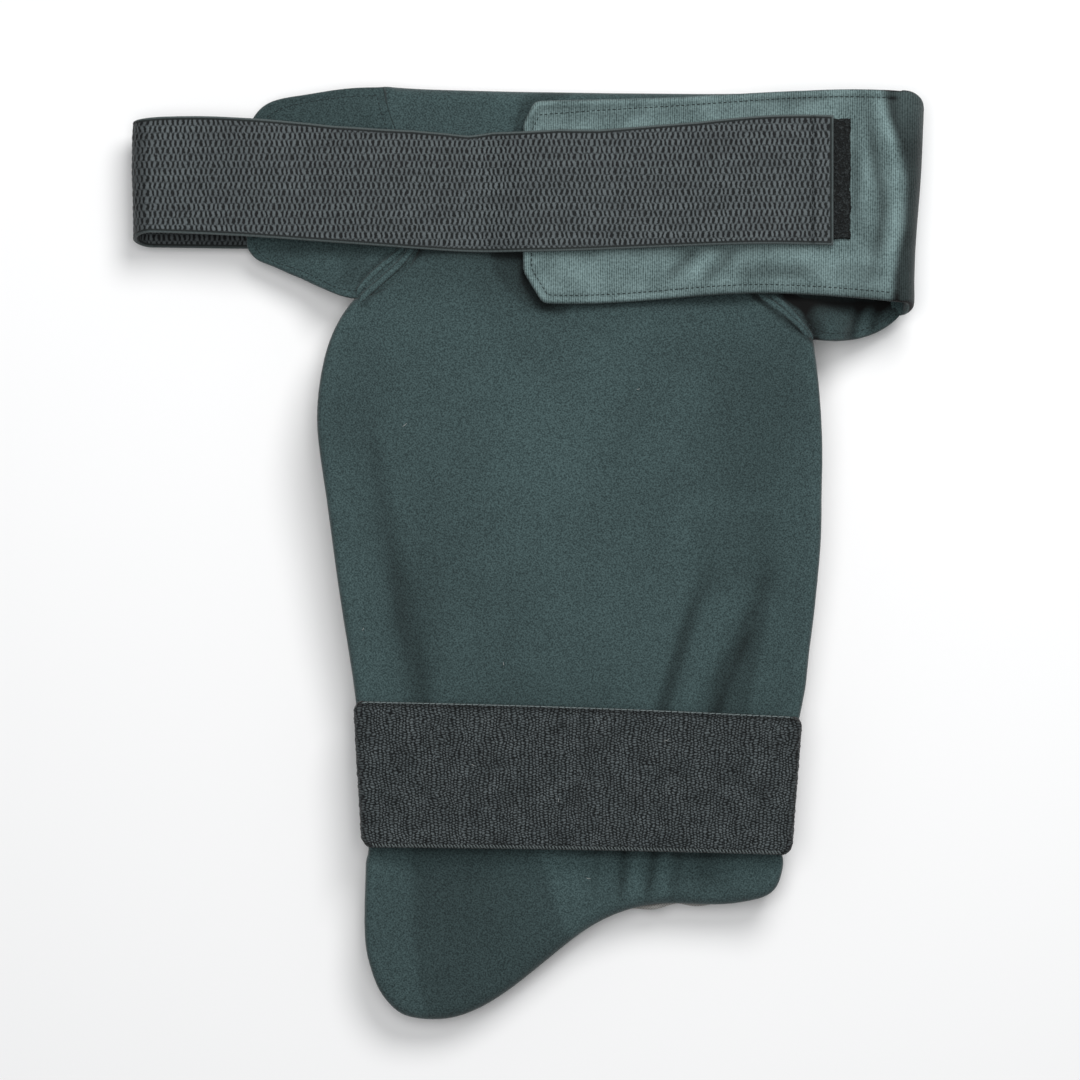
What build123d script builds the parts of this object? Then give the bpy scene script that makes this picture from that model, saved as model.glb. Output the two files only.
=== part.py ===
"""Cricket thigh pad: a curved foam pad with a stretch thigh strap and a fold-over waist belt.

It lies on its outer face with the leg face up. X runs across the thigh, Y along it towards the
waist, and Z away from the ground. Millimetres.
"""

import os
from math import cos, radians, sin

from build123d import *

os.makedirs("parts", exist_ok=True)

# Pad body: depths are measured square to the leg face
LEG_FACE_Z = 21.0
RIB_HEIGHT = 5.0
PAD_THICK = LEG_FACE_Z - RIB_HEIGHT
LINING_THICK = 0.8
COVER_THICK = 0.8
GUSSET_THICK = 1.0
SOFT_FOAM_THICK = 8.2
BEND_LEFT_X, BEND_RIGHT_X = -42.0, 71.0
BEND_LEFT_R, BEND_RIGHT_R = 40.0, 60.0
SIDE_SLOPE = 28.0
SIDE_RUN = 90.0

# Lengths well past the pad, for extrusions that are then trimmed
REACH = 220.0
TALL = 60.0

# Ribs on the outer face: (centre x, width, lowest y, highest y)
RIB_CORNER_R = 10.0
RIBS = {
    "rib_left_side": (-56.0, 22.0, -44.0, 84.0),
    "rib_centre_left": (-19.5, 29.0, -158.0, 172.0),
    "rib_centre": (14.5, 29.0, -140.0, 172.0),
    "rib_centre_right": (48.5, 29.0, -126.0, 172.0),
    "rib_right_side": (90.0, 28.0, -50.0, 78.0),
}

# Waist wings and the folded flap: fabric, foam, fabric
FABRIC_THICK = 0.8
WING_FOAM_THICK = 2.0
WING_THICK = 2 * FABRIC_THICK + WING_FOAM_THICK
FLAP_FOLD_X = 149.0
WING_UNDER_Z = 12.0
FLAP_UNDER_Z = 27.5
FLAP_END_UNDER_Z = 21.6

# Waist elastic
ELASTIC_THICK = 1.5
STRAP_FOLD_X = -151.0
WING_EDGE_Z = 11.2
REAR_RUN_Z = WING_EDGE_Z - ELASTIC_THICK
FRONT_RUN_Z = 23.5
STRAP_LIFT = 1.5
HOOK_THICK = 1.2
HOOK_START_X, HOOK_END_X = 84.0, 128.6
STRAP_END_X = 122.6

# Thigh strap of towelling elastic
TOWEL_THICK = 1.8
TOWEL_LEFT_Z, TOWEL_RIGHT_Z = 31.2, 34.0
TOWEL_MID = (-20.0, 60.0)
TOWEL_CORNERS = [(-69.4, -58.6), (107.9, -64.8), (103.4, -121.2), (-65.4, -118.4)]
TOWEL_SEWN_RUN = 26.0

# The pad's plan, edge by edge anticlockwise from the left end of the waist seam
PAD_EDGES = [
    [
        (-69.5, 102.0),
        (-80.5, 82.0),
        (-84.3, 55.0),
        (-81.2, 28.0),
        (-75.0, -18.0),
        (-69.0, -58.0),
        (-66.4, -90.0),
        (-64.9, -118.0),
        (-65.4, -152.0),
        (-59.5, -175.5),
        (-40.0, -186.7),
        (-18.0, -181.8),
        (5.0, -164.5),
        (28.0, -147.5),
        (52.0, -140.4),
        (86.0, -139.5),
        (98.6, -133.0),
        (102.4, -118.0),
        (105.0, -92.0),
        (107.4, -62.0),
        (114.6, -14.0),
        (117.0, 45.0),
        (113.4, 85.6),
    ],
    [(113.4, 85.6), (94.6, 101.6), (82.5, 114.0), (80.0, 130.0), (86.0, 158.0), (96.0, 184.6)],
    [(96.0, 184.6), (30.0, 185.0), (-58.0, 186.8)],
    [(-58.0, 186.8), (-49.0, 160.0), (-41.5, 136.0), (-45.0, 119.6), (-69.5, 102.0)],
]


def corner_plan(*corners):
    """Plan region with straight edges between its corners."""
    with BuildSketch(Plane.XY) as plan:
        Polygon(*corners, align=None)
    return plan.sketch


def fold_plan(x, low_y, high_y):
    """Plan reaching well to both sides of a fold line at x."""
    return corner_plan((x - TALL, low_y), (x + TALL, low_y), (x + TALL, high_y), (x - TALL, high_y))


def closed_plan(*edges):
    """Plan region bounded by smooth edges, each a list of points starting where the last one ended."""
    with BuildSketch(Plane.XY) as plan:
        with BuildLine():
            for points in edges:
                if len(points) > 2:
                    Spline(points)
                else:
                    Line(*points)
        make_face()
    return plan.sketch


def inset_points(points, inset, count=30):
    """Points along a spline moved square to it, towards its left; and its two end directions."""
    curve = Edge.make_spline([Vector(*point) for point in points])
    left = [(curve % (i / count)).rotate(Axis.Z, 90) for i in range(count + 1)]
    moved = [curve @ (i / count) + left[i] * inset for i in range(1, count)]
    return moved, left[0], left[-1]


def outline(inset=0.0):
    """The pad's plan, or the same shape a little inside it with mitred corners."""
    if not inset:
        return closed_plan(*PAD_EDGES)
    moved = [inset_points(points, inset) for points in PAD_EDGES]
    corners = []
    for i, points in enumerate(PAD_EDGES):
        before, after = moved[i - 1][2], moved[i][1]
        corners.append(Vector(*points[0]) + (before + after) * (inset / (1 + before.dot(after))))
    loops = []
    for i, (inner, _, _) in enumerate(moved):
        loops.append([corners[i], *inner, corners[(i + 1) % len(corners)]])
    return closed_plan(*loops)


def side_curve(depth, side):
    """One side of the section at a depth below the leg face: an arc, then the straight slope."""
    bend_x, bend_r = (BEND_LEFT_X, BEND_LEFT_R) if side < 0 else (BEND_RIGHT_X, BEND_RIGHT_R)
    slope = radians(SIDE_SLOPE)
    arc = CenterArc((bend_x, LEG_FACE_Z + bend_r), bend_r + depth, 270.0, side * SIDE_SLOPE)
    run = (side * SIDE_RUN * cos(slope), SIDE_RUN * sin(slope))
    return Line(arc @ 1, arc @ 1 + Vector(*run))


def band(top_depth, bottom_depth):
    """Closed XZ section of one layer of the curved pad, between two depths below the leg face."""
    with BuildSketch(Plane.XZ) as section:
        with BuildLine():
            ends = []
            for depth in (top_depth, bottom_depth):
                z = LEG_FACE_Z - depth
                Line((BEND_LEFT_X, z), (BEND_RIGHT_X, z))
                ends.append([side_curve(depth, side) @ 1 for side in (-1, 1)])
            for upper, lower in zip(*ends):
                Line(upper, lower)
        make_face()
    return section.sketch


def cut_layer(plan, top_depth, bottom_depth):
    """In the open part, a sheet of the pad: one band of the curved section trimmed to a plan."""
    extrude(band(top_depth, bottom_depth), amount=REACH, both=True)
    extrude(plan, amount=TALL, mode=Mode.INTERSECT)


def rib_plan(ribs, inset=0.0):
    """Rounded bars in plan for some of the outer face's ribs."""
    with BuildSketch(Plane.XY) as plan:
        for x, width, low_y, high_y in ribs:
            with Locations((x, (low_y + high_y) / 2)):
                RectangleRounded(width - 2 * inset, high_y - low_y - 2 * inset, RIB_CORNER_R - inset)
    return plan.sketch


def ribbon(points, low, high):
    """XZ section of a strip along points (x, z), from low to high above them, level at both ends."""
    with BuildSketch(Plane.XZ) as section:
        with BuildLine():
            level = [(1, 0), (1, 0)]
            under = Spline([(x, z + low) for x, z in points], tangents=level)
            over = Spline([(x, z + high) for x, z in points], tangents=level)
            Line(under @ 0, over @ 0)
            Line(under @ 1, over @ 1)
        make_face()
    return section.sketch


def half_ring(x, low_z, high_z, thick, side):
    """XZ section of a strip turned back on itself at x, bulging to one side."""
    outer_r = (high_z - low_z) / 2
    with BuildSketch(Plane.XZ) as section:
        with Locations((x, (low_z + high_z) / 2)):
            Circle(outer_r)
            Circle(outer_r - thick, mode=Mode.SUBTRACT)
            keep = Align.MIN if side > 0 else Align.MAX
            Rectangle(outer_r, 2 * outer_r, align=(keep, Align.CENTER), mode=Mode.INTERSECT)
    return section.sketch


def cut_strip(section, plan):
    """In the open part, a strip of the given XZ section trimmed to a plan."""
    extrude(section, amount=REACH, both=True)
    extrude(plan, amount=TALL, mode=Mode.INTERSECT)


def save(part, label):
    part.label = label
    export_step(part, f"parts/{label}.step")


PAD_PLAN = outline()
INNER_PLAN = outline(GUSSET_THICK)
COVER_DEPTH = PAD_THICK - COVER_THICK
RIB_DEPTH = PAD_THICK + RIB_HEIGHT
SOFT_DEPTH = LINING_THICK + SOFT_FOAM_THICK

# Pad layers, leg face first
with BuildPart() as lining:
    cut_layer(PAD_PLAN, 0.0, LINING_THICK)
save(lining.part, "leg_lining")

with BuildPart() as gusset:
    cut_layer(PAD_PLAN, LINING_THICK, COVER_DEPTH)
    extrude(INNER_PLAN, amount=TALL, mode=Mode.SUBTRACT)
save(gusset.part, "edge_gusset")

with BuildPart() as cushion_foam:
    cut_layer(INNER_PLAN, LINING_THICK, SOFT_DEPTH)
save(cushion_foam.part, "cushion_foam")

with BuildPart() as impact_foam:
    cut_layer(INNER_PLAN, SOFT_DEPTH, COVER_DEPTH)
save(impact_foam.part, "impact_foam")

# The outer cover is moulded over the ribs, and each rib fills its own pocket
with BuildPart() as raised_ribs:
    cut_layer(rib_plan(RIBS.values()), PAD_THICK, RIB_DEPTH)

with BuildPart() as rib_pockets:
    cut_layer(rib_plan(RIBS.values(), COVER_THICK), COVER_DEPTH, RIB_DEPTH - COVER_THICK)

with BuildPart() as outer_cover:
    cut_layer(PAD_PLAN, COVER_DEPTH, PAD_THICK)
    add(raised_ribs.part)
    add(rib_pockets.part, mode=Mode.SUBTRACT)
save(outer_cover.part, "outer_cover")

for name, rib in RIBS.items():
    with BuildPart() as rib_foam:
        cut_layer(rib_plan([rib], COVER_THICK), COVER_DEPTH, RIB_DEPTH - COVER_THICK)
    save(rib_foam.part, name)

# Wings: each layer is a strip trimmed to the wing's plan, and sewn to the pad along its seam
LEFT_WING_LINE = [
    (STRAP_FOLD_X, WING_EDGE_Z),
    (-113.6, WING_EDGE_Z + 0.1),
    (-92.0, 13.4),
    (-68.0, 15.4),
    (-52.0, 13.4),
    (-36.0, WING_EDGE_Z),
]
RIGHT_WING_LINE = [
    (70.0, 11.5),
    (92.0, 16.5),
    (113.0, 20.0),
    (134.0, 14.0),
    (FLAP_FOLD_X, WING_UNDER_Z),
]
LEFT_WING_PLAN = closed_plan(
    [(-57.0, 186.7), (-72.0, 186.3), (-88.0, 184.4), (-106.0, 178.6), (-112.2, 171.0)],
    [(-112.2, 171.0), (-113.4, 124.0)],
    [(-113.4, 124.0), (-109.8, 118.4), (-91.0, 110.4), (-80.0, 104.7), (-68.5, 102.2)],
    [(-68.5, 102.2), (-36.0, 110.0)],
    [(-36.0, 110.0), (-36.0, 160.0)],
    [(-36.0, 160.0), (-57.0, 186.7)],
)
RIGHT_WING_PLAN = closed_plan(
    [(72.0, 184.0), (FLAP_FOLD_X, 184.0)],
    [(FLAP_FOLD_X, 184.0), (FLAP_FOLD_X, 95.6)],
    [(FLAP_FOLD_X, 95.6), (143.0, 90.6), (134.0, 86.8), (124.0, 85.2), (112.6, 85.8)],
    [(112.6, 85.8), (72.0, 108.0)],
    [(72.0, 108.0), (72.0, 184.0)],
)
WING_LAYERS = {
    "backing": (0.0, FABRIC_THICK),
    "foam": (FABRIC_THICK, FABRIC_THICK + WING_FOAM_THICK),
    "lining": (FABRIC_THICK + WING_FOAM_THICK, WING_THICK),
}
WINGS = {"left_wing": (LEFT_WING_LINE, LEFT_WING_PLAN), "right_wing": (RIGHT_WING_LINE, RIGHT_WING_PLAN)}
for wing_name, (line, plan) in WINGS.items():
    for layer_name, (low, high) in WING_LAYERS.items():
        with BuildPart() as wing_layer:
            cut_strip(ribbon(line, low, high), plan)
            extrude(PAD_PLAN, amount=TALL, mode=Mode.SUBTRACT)
        save(wing_layer.part, f"{wing_name}_{layer_name}")

# Flap: the right wing turned back over the pad, so its loop face is on top
with BuildPart() as flap_fold:
    ring = half_ring(FLAP_FOLD_X, WING_UNDER_Z, FLAP_UNDER_Z + WING_THICK, WING_THICK, 1)
    cut_strip(ring, fold_plan(FLAP_FOLD_X, 100.0, 184.6))
save(flap_fold.part, "flap_fold")

FLAP_LINE = [
    (-2.4, FLAP_END_UNDER_Z),
    (32.0, FLAP_END_UNDER_Z),
    (62.0, FLAP_END_UNDER_Z + 0.8),
    (94.0, FLAP_UNDER_Z - 0.2),
    (122.0, FLAP_UNDER_Z + 0.2),
    (FLAP_FOLD_X, FLAP_UNDER_Z),
]
FLAP_PLAN = closed_plan(
    [(2.4, 178.9), (36.0, 181.2), (92.0, 184.4), (128.0, 185.8), (FLAP_FOLD_X, 185.0)],
    [(FLAP_FOLD_X, 185.0), (FLAP_FOLD_X, 100.4)],
    [(FLAP_FOLD_X, 100.4), (116.0, 103.2), (86.0, 104.0), (42.0, 101.0), (5.6, 100.2)],
    [(5.6, 100.2), (-2.2, 113.0)],
    [(-2.2, 113.0), (-2.2, 170.0)],
    [(-2.2, 170.0), (2.4, 178.9)],
)
FLAP_LAYERS = {
    "flap_lining": (0.0, FABRIC_THICK),
    "flap_foam": (FABRIC_THICK, FABRIC_THICK + WING_FOAM_THICK),
    "flap_loop_face": (FABRIC_THICK + WING_FOAM_THICK, WING_THICK),
}
for flap_name, (low, high) in FLAP_LAYERS.items():
    with BuildPart() as flap_layer:
        cut_strip(ribbon(FLAP_LINE, low, high), FLAP_PLAN)
    save(flap_layer.part, flap_name)

# Waist elastic: sewn under the left wing, turned at the left, and run across to the flap
REAR_PLAN = corner_plan((STRAP_FOLD_X, 123.4), (-92.0, 122.6), (-92.0, 170.6), (STRAP_FOLD_X, 172.0))
with BuildPart() as rear_run:
    cut_strip(ribbon(LEFT_WING_LINE, -ELASTIC_THICK, 0.0), REAR_PLAN)
save(rear_run.part, "waist_elastic_rear_run")

with BuildPart() as strap_fold:
    ring = half_ring(STRAP_FOLD_X, REAR_RUN_Z, FRONT_RUN_Z + ELASTIC_THICK, ELASTIC_THICK, -1)
    cut_strip(ring, fold_plan(STRAP_FOLD_X, 125.0, 174.0))
save(strap_fold.part, "waist_elastic_fold")

OVER_FLAP = WING_THICK + STRAP_LIFT
STRAP_LINE = [
    (STRAP_FOLD_X, FRONT_RUN_Z),
    (-100.0, 24.2),
    (-58.0, 24.6),
    (-36.0, 22.6),
    (-20.0, 22.0),
    (-3.0, FLAP_END_UNDER_Z + OVER_FLAP),
    (32.0, FLAP_END_UNDER_Z + OVER_FLAP),
    (62.0, FLAP_END_UNDER_Z + 0.8 + OVER_FLAP),
    (94.0, FLAP_UNDER_Z - 0.2 + OVER_FLAP),
    (HOOK_END_X, FLAP_UNDER_Z + 0.2 + OVER_FLAP),
]
STRAP_PLAN = closed_plan(
    [(STRAP_FOLD_X, 174.6), (-79.0, 172.2), (-20.0, 167.0), (37.0, 171.2), (STRAP_END_X, 174.6)],
    [(STRAP_END_X, 174.6), (STRAP_END_X, 124.6)],
    [(STRAP_END_X, 124.6), (37.0, 122.8), (-12.0, 121.0), (-79.0, 124.6), (STRAP_FOLD_X, 128.6)],
    [(STRAP_FOLD_X, 128.6), (STRAP_FOLD_X, 174.6)],
)
with BuildPart() as front_run:
    cut_strip(ribbon(STRAP_LINE, 0.0, ELASTIC_THICK), STRAP_PLAN)
save(front_run.part, "waist_elastic_front_run")

HOOK_PLAN = corner_plan(
    (HOOK_START_X, 126.6), (HOOK_END_X, 126.6), (HOOK_END_X, 172.8), (HOOK_START_X, 172.0)
)
with BuildPart() as hook_patch:
    cut_strip(ribbon(STRAP_LINE, -HOOK_THICK, 0.0), HOOK_PLAN)
save(hook_patch.part, "hook_patch")

# Thigh strap: both ends sewn to the outer cover, and the span free to stretch off the pad
def towel_z(x):
    """Height of the span's underside, which rises evenly from one side of the pad to the other."""
    (left_x, _), (right_x, _) = TOWEL_CORNERS[:2]
    return TOWEL_LEFT_Z + (TOWEL_RIGHT_Z - TOWEL_LEFT_Z) * (x - left_x) / (right_x - left_x)


TOWEL_PLAN = corner_plan(*TOWEL_CORNERS)
TOWEL_SPANS = {
    "thigh_strap_left_part": (-80.0, TOWEL_MID[0]),
    "thigh_strap_middle": TOWEL_MID,
    "thigh_strap_right_part": (TOWEL_MID[1], 120.0),
}
for name, (start_x, end_x) in TOWEL_SPANS.items():
    with BuildPart() as span:
        with BuildSketch(Plane.XZ) as span_section:
            under = [(x, towel_z(x)) for x in (start_x, end_x)]
            over = [(x, z + TOWEL_THICK) for x, z in reversed(under)]
            Polygon(*under, *over, align=None)
        cut_strip(span_section.sketch, TOWEL_PLAN)
    save(span.part, name)


def edge_plan(top_corner, low_corner, run):
    """Plan of a piece of the strap beside its side edge, reaching run millimetres along X."""
    moved = [(x + run, y) for x, y in (low_corner, top_corner)]
    return corner_plan(top_corner, low_corner, *moved)


TOWEL_ENDS = {
    "thigh_strap_left_end": (-1, TOWEL_CORNERS[0], TOWEL_CORNERS[3], TOWEL_LEFT_Z),
    "thigh_strap_right_end": (1, TOWEL_CORNERS[1], TOWEL_CORNERS[2], TOWEL_RIGHT_Z),
}
for name, (side, top_corner, low_corner, edge_z) in TOWEL_ENDS.items():
    under_pad = edge_plan(top_corner, low_corner, -side * TOWEL_SEWN_RUN)
    with BuildPart() as sewn_end:
        cut_layer(under_pad, PAD_THICK, PAD_THICK + TOWEL_THICK)

    with BuildPart() as strap_end:
        extrude(edge_plan(top_corner, low_corner, side * TOWEL_THICK), amount=edge_z + TOWEL_THICK)
        extrude(band(PAD_THICK + TOWEL_THICK, TALL), amount=REACH, both=True, mode=Mode.SUBTRACT)
        add(sewn_end.part)
    save(strap_end.part, name)
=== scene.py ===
"""The looks of a cricket thigh pad: leg fabric, ribbed outer face, elastic belt, flap and thigh strap.

Every shape is worked out over the CAD solids of the frame. Lengths in the code are millimetres, and
meshes are written in metres.
"""

import math
from types import SimpleNamespace

import bpy
import numpy as np
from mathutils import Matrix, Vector
from mathutils.bvhtree import BVHTree
from mathutils.geometry import delaunay_2d_cdt


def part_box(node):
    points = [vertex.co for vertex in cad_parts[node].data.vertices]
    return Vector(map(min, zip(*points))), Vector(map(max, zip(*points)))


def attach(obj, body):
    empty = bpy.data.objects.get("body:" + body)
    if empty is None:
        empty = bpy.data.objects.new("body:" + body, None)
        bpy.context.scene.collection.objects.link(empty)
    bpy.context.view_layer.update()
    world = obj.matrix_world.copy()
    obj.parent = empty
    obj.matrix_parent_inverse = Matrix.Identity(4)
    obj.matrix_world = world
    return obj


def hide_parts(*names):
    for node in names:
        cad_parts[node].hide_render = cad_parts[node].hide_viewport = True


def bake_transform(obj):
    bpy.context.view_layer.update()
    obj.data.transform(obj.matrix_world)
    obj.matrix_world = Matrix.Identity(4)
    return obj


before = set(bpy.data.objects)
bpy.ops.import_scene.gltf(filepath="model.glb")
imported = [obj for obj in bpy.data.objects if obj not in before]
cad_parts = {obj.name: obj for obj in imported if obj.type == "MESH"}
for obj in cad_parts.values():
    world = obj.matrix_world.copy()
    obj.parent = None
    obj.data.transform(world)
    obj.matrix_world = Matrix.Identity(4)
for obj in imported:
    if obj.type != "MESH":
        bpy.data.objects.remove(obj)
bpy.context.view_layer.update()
MM = 0.001
CORNER_TURN = 25  # degrees; an outline that turns more than this has a corner there
THREAD_SIDES, WELT_SIDES = 6, 12
SELVEDGE_STEPS = (0.0, 0.25, 0.7, 1.3)
RAW_END = 60  # how far past an end that isn't rolled its outline is taken to go on


# ---------------------------------------------------------------------------
# Plan lines


def along_line(line):
    """How far along an open line each of its points is."""
    return np.concatenate([[0], np.cumsum(np.linalg.norm(np.diff(line, axis=0), axis=1))])


def unit(rows):
    """Rows of numbers, each made a vector of length 1."""
    return rows / np.linalg.norm(rows, axis=1)[:, None]


def walk(line, pitch):
    """An open line with evenly spaced points."""
    line = np.array(line, float)
    along = along_line(line)
    count = max(int(round(along[-1] / pitch)), 1)
    at = np.linspace(0, along[-1], count + 1)
    return np.stack([np.interp(at, along, line[:, i]) for i in range(line.shape[1])], axis=1)


def flow(line, pitch):
    """A smooth curve through a few points, evenly spaced."""
    line = np.array(line, float)
    padded = np.vstack([2 * line[0] - line[1], line, 2 * line[-1] - line[-2]])
    fine = []
    for a, b, c, d in zip(padded, padded[1:], padded[2:], padded[3:]):
        square, cube = 2 * a - 5 * b + 4 * c - d, 3 * b - a - 3 * c + d
        for t in np.linspace(0, 1, 12, endpoint=False):
            fine.append(0.5 * (2 * b + (c - a) * t + square * t**2 + cube * t**3))
    return walk(np.array(fine + [line[-1]]), pitch)


def even_loop(loop, pitch):
    """A closed line with evenly spaced points, which keeps its corners."""
    loop = loop[np.linalg.norm(loop - np.roll(loop, 1, 0), axis=1) > 0.02]
    into, out = loop - np.roll(loop, 1, 0), np.roll(loop, -1, 0) - loop
    turn = np.degrees(np.arctan2(into[:, 0] * out[:, 1] - into[:, 1] * out[:, 0], (into * out).sum(1)))
    corners = np.flatnonzero(np.abs(turn) > CORNER_TURN)
    if len(corners) == 0:
        corners = np.array([0])
    spans = []
    for i, start in enumerate(corners):
        end = corners[(i + 1) % len(corners)]
        end = end if end > start else end + len(loop)
        span = loop[np.arange(start, end + 1) % len(loop)]
        spans.append(walk(span, pitch)[:-1])
    return np.concatenate(spans)


def inward(loop):
    """Unit normals of a closed anticlockwise line, towards its inside."""
    ahead = unit(np.roll(loop, -1, 0) - loop)
    both = unit(ahead + np.roll(ahead, 1, 0))
    return np.stack([-both[:, 1], both[:, 0]], axis=1)


def in_parts(measure, points):
    """A measure of many points, taken about 2000 at a time so that its tables stay small."""
    return np.concatenate([measure(part) for part in np.array_split(points, max(len(points) // 2000, 1))])


def nearest(points, line, closed=False):
    """Distance from each plan point to a line, and the share of the line's length where it is nearest."""
    line = np.array(line, float)
    starts, ends = (line, np.roll(line, -1, 0)) if closed else (line[:-1], line[1:])
    run = ends - starts
    size = (run**2).sum(1) + 1e-12
    before = np.concatenate([[0], np.cumsum(np.sqrt(size))])

    def measure(part):
        gap = part[:, None] - starts
        on = np.clip((gap * run).sum(2) / size, 0, 1)
        far = np.linalg.norm(gap - on[..., None] * run, axis=2)
        best = far.argmin(1)
        row = np.arange(len(part))
        share = (before[best] + on[row, best] * np.sqrt(size[best])) / before[-1]
        return np.stack([far[row, best], share], 1)

    return in_parts(measure, points).T


def reach(points, line, closed=False):
    """Distance from each plan point to a line."""
    return nearest(points, line, closed)[0]


def inside(points, loop):
    """Whether each plan point is inside a closed line."""
    (x0, y0), (x1, y1) = loop.T, np.roll(loop, -1, 0).T

    def measure(part):
        x, y = part[:, :1], part[:, 1:]
        cross = x0 + (y - y0) * (x1 - x0) / np.where(y1 == y0, 1e-12, y1 - y0)
        return (((y0 > y) != (y1 > y)) & (x < cross)).sum(1) % 2 == 1

    return in_parts(measure, points)


def span_at(loop, x):
    """Lowest and highest y of a closed plan line at each x."""
    (x0, y0), (x1, y1) = loop.T, np.roll(loop, -1, 0).T
    spans = []
    for at in np.clip(x, x0.min() + 0.05, x0.max() - 0.05):
        hit = (x0 > at) != (x1 > at)
        ys = y0[hit] + (at - x0[hit]) * (y1[hit] - y0[hit]) / (x1[hit] - x0[hit])
        spans.append((ys.min(), ys.max()))
    return np.array(spans).T


def evened(values, rounds):
    """Values along a line, each blended with its two neighbours some rounds over; the ends stay."""
    for _ in range(rounds):
        values[1:-1] = values[:-2] / 4 + values[1:-1] / 2 + values[2:] / 4
    return values


def bell(distance, width):
    """1 at no distance, dying away over a width."""
    return np.exp(-((distance / width) ** 2))


def smooth(t):
    """A soft step from 0 to 1 as t goes from 0 to 1."""
    t = np.clip(t, 0, 1)
    return t * t * (3 - 2 * t)


def valley(plan, line, depth, width):
    """A soft crease along a line through a few points, which fades out towards both ends."""
    away, share = nearest(plan, flow(line, 2.0))
    fade = smooth(share / 0.3) * smooth((1 - share) / 0.3)
    return -depth * fade * bell(away, width)


def valleys(plan, table):
    """All the soft creases of a table; a ridge has a depth below 0."""
    return sum(valley(plan, *facts) for facts in table.values())


def groove(plan, line, depth, width):
    """A crease that keeps its depth right to both ends."""
    return -depth * bell(reach(plan, flow(line, 2.0)), width)


def patch(plan, outline, amount, soft):
    """An amount inside a closed line, which fades over its edge."""
    loop = np.array(outline, float)
    depth = reach(plan, loop, closed=True) * np.where(inside(plan, loop), 1, -1)
    return amount * smooth(depth / soft + 0.5)


def ripple(plan, size, seed):
    """Smooth irregular waves between about -1 and 1, with bumps of about the given size."""
    draw = np.random.default_rng(seed)
    total = np.zeros(len(plan))
    for _ in range(9):
        angle, phase = draw.uniform(0, 2 * math.pi, 2)
        length = size * draw.uniform(0.7, 1.6)
        total += np.sin((plan @ [math.cos(angle), math.sin(angle)]) * 2 * math.pi / length + phase)
    return total / 3.6


# ---------------------------------------------------------------------------
# Reading the CAD solids


class Solid:
    """One CAD node, read for the pieces that go over it."""

    def __init__(self, node):
        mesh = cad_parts[node].data
        mesh.calc_loop_triangles()
        self.points = np.array([v.co for v in mesh.vertices], float) / MM
        self.triangles = np.array([t.vertices for t in mesh.loop_triangles])
        self.tree = BVHTree.FromPolygons(self.points.tolist(), self.triangles.tolist())
        self.low, self.high = (np.array(corner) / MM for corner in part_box(node))

    def height(self, plan, above=True):
        """Height of the upper or the lower surface at each plan point."""
        start = self.high[2] + 50 if above else self.low[2] - 50
        heading = Vector((0, 0, -1 if above else 1))
        heights = []
        for x, y in plan:
            hit = self.tree.ray_cast(Vector((x, y, start)), heading)[0]
            if hit is None:
                side = self.high[2] if above else self.low[2]
                hit = self.tree.find_nearest(Vector((x, y, side)))[0]
            heights.append(hit.z)
        return np.array(heights)

    def rim(self, pitch):
        """The plan of the upper surface's edge, anticlockwise and evenly spaced."""
        places, ids = np.unique(np.round(self.points, 3), axis=0, return_inverse=True)
        ids = ids.reshape(-1)
        a, b, c = (self.points[self.triangles[:, i]] for i in range(3))
        normal = np.cross(b - a, c - a)
        lift = normal[:, 2] / (np.linalg.norm(normal, axis=1) + 1e-12)
        sides = {}
        for corners, up in zip(ids[self.triangles], lift):
            for i in range(3):
                edge = (int(corners[i]), int(corners[(i + 1) % 3]))
                sides.setdefault(tuple(sorted(edge)), []).append((up, edge))
        after = {}
        for pair in sides.values():
            tops = [edge for up, edge in pair if up > 0.5]
            walls = [edge for up, edge in pair if abs(up) < 0.3]
            if tops and walls:
                after[tops[0][0]] = tops[0][1]
        loops = []
        while after:
            loop = [next(iter(after))]
            while loop[-1] in after:
                loop.append(after.pop(loop[-1]))
            loops.append(loop[:-1])
        longest = max(loops, key=len)
        return even_loop(places[longest][:, :2], pitch)


def resting_on(*pieces):
    """A function for the height of the highest of some made pieces at each plan point."""
    trees = []
    for piece in pieces:
        corners = [v.co / MM for v in piece.data.vertices]
        trees.append(BVHTree.FromPolygons(corners, [tuple(p.vertices) for p in piece.data.polygons]))

    def surface(plan):
        heights = []
        for x, y in plan:
            hits = [tree.ray_cast(Vector((x, y, 200)), Vector((0, 0, -1)))[0] for tree in trees]
            heights.append(max((hit.z for hit in hits if hit), default=np.nan))
        heights = np.array(heights)
        found = ~np.isnan(heights)
        row = np.arange(len(heights))
        return np.interp(row, row[found], heights[found])

    return surface


# ---------------------------------------------------------------------------
# Meshes


def placed(name, data):
    """A new object in the scene."""
    made = bpy.data.objects.new(name, data)
    bpy.context.scene.collection.objects.link(made)
    return made


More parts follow.
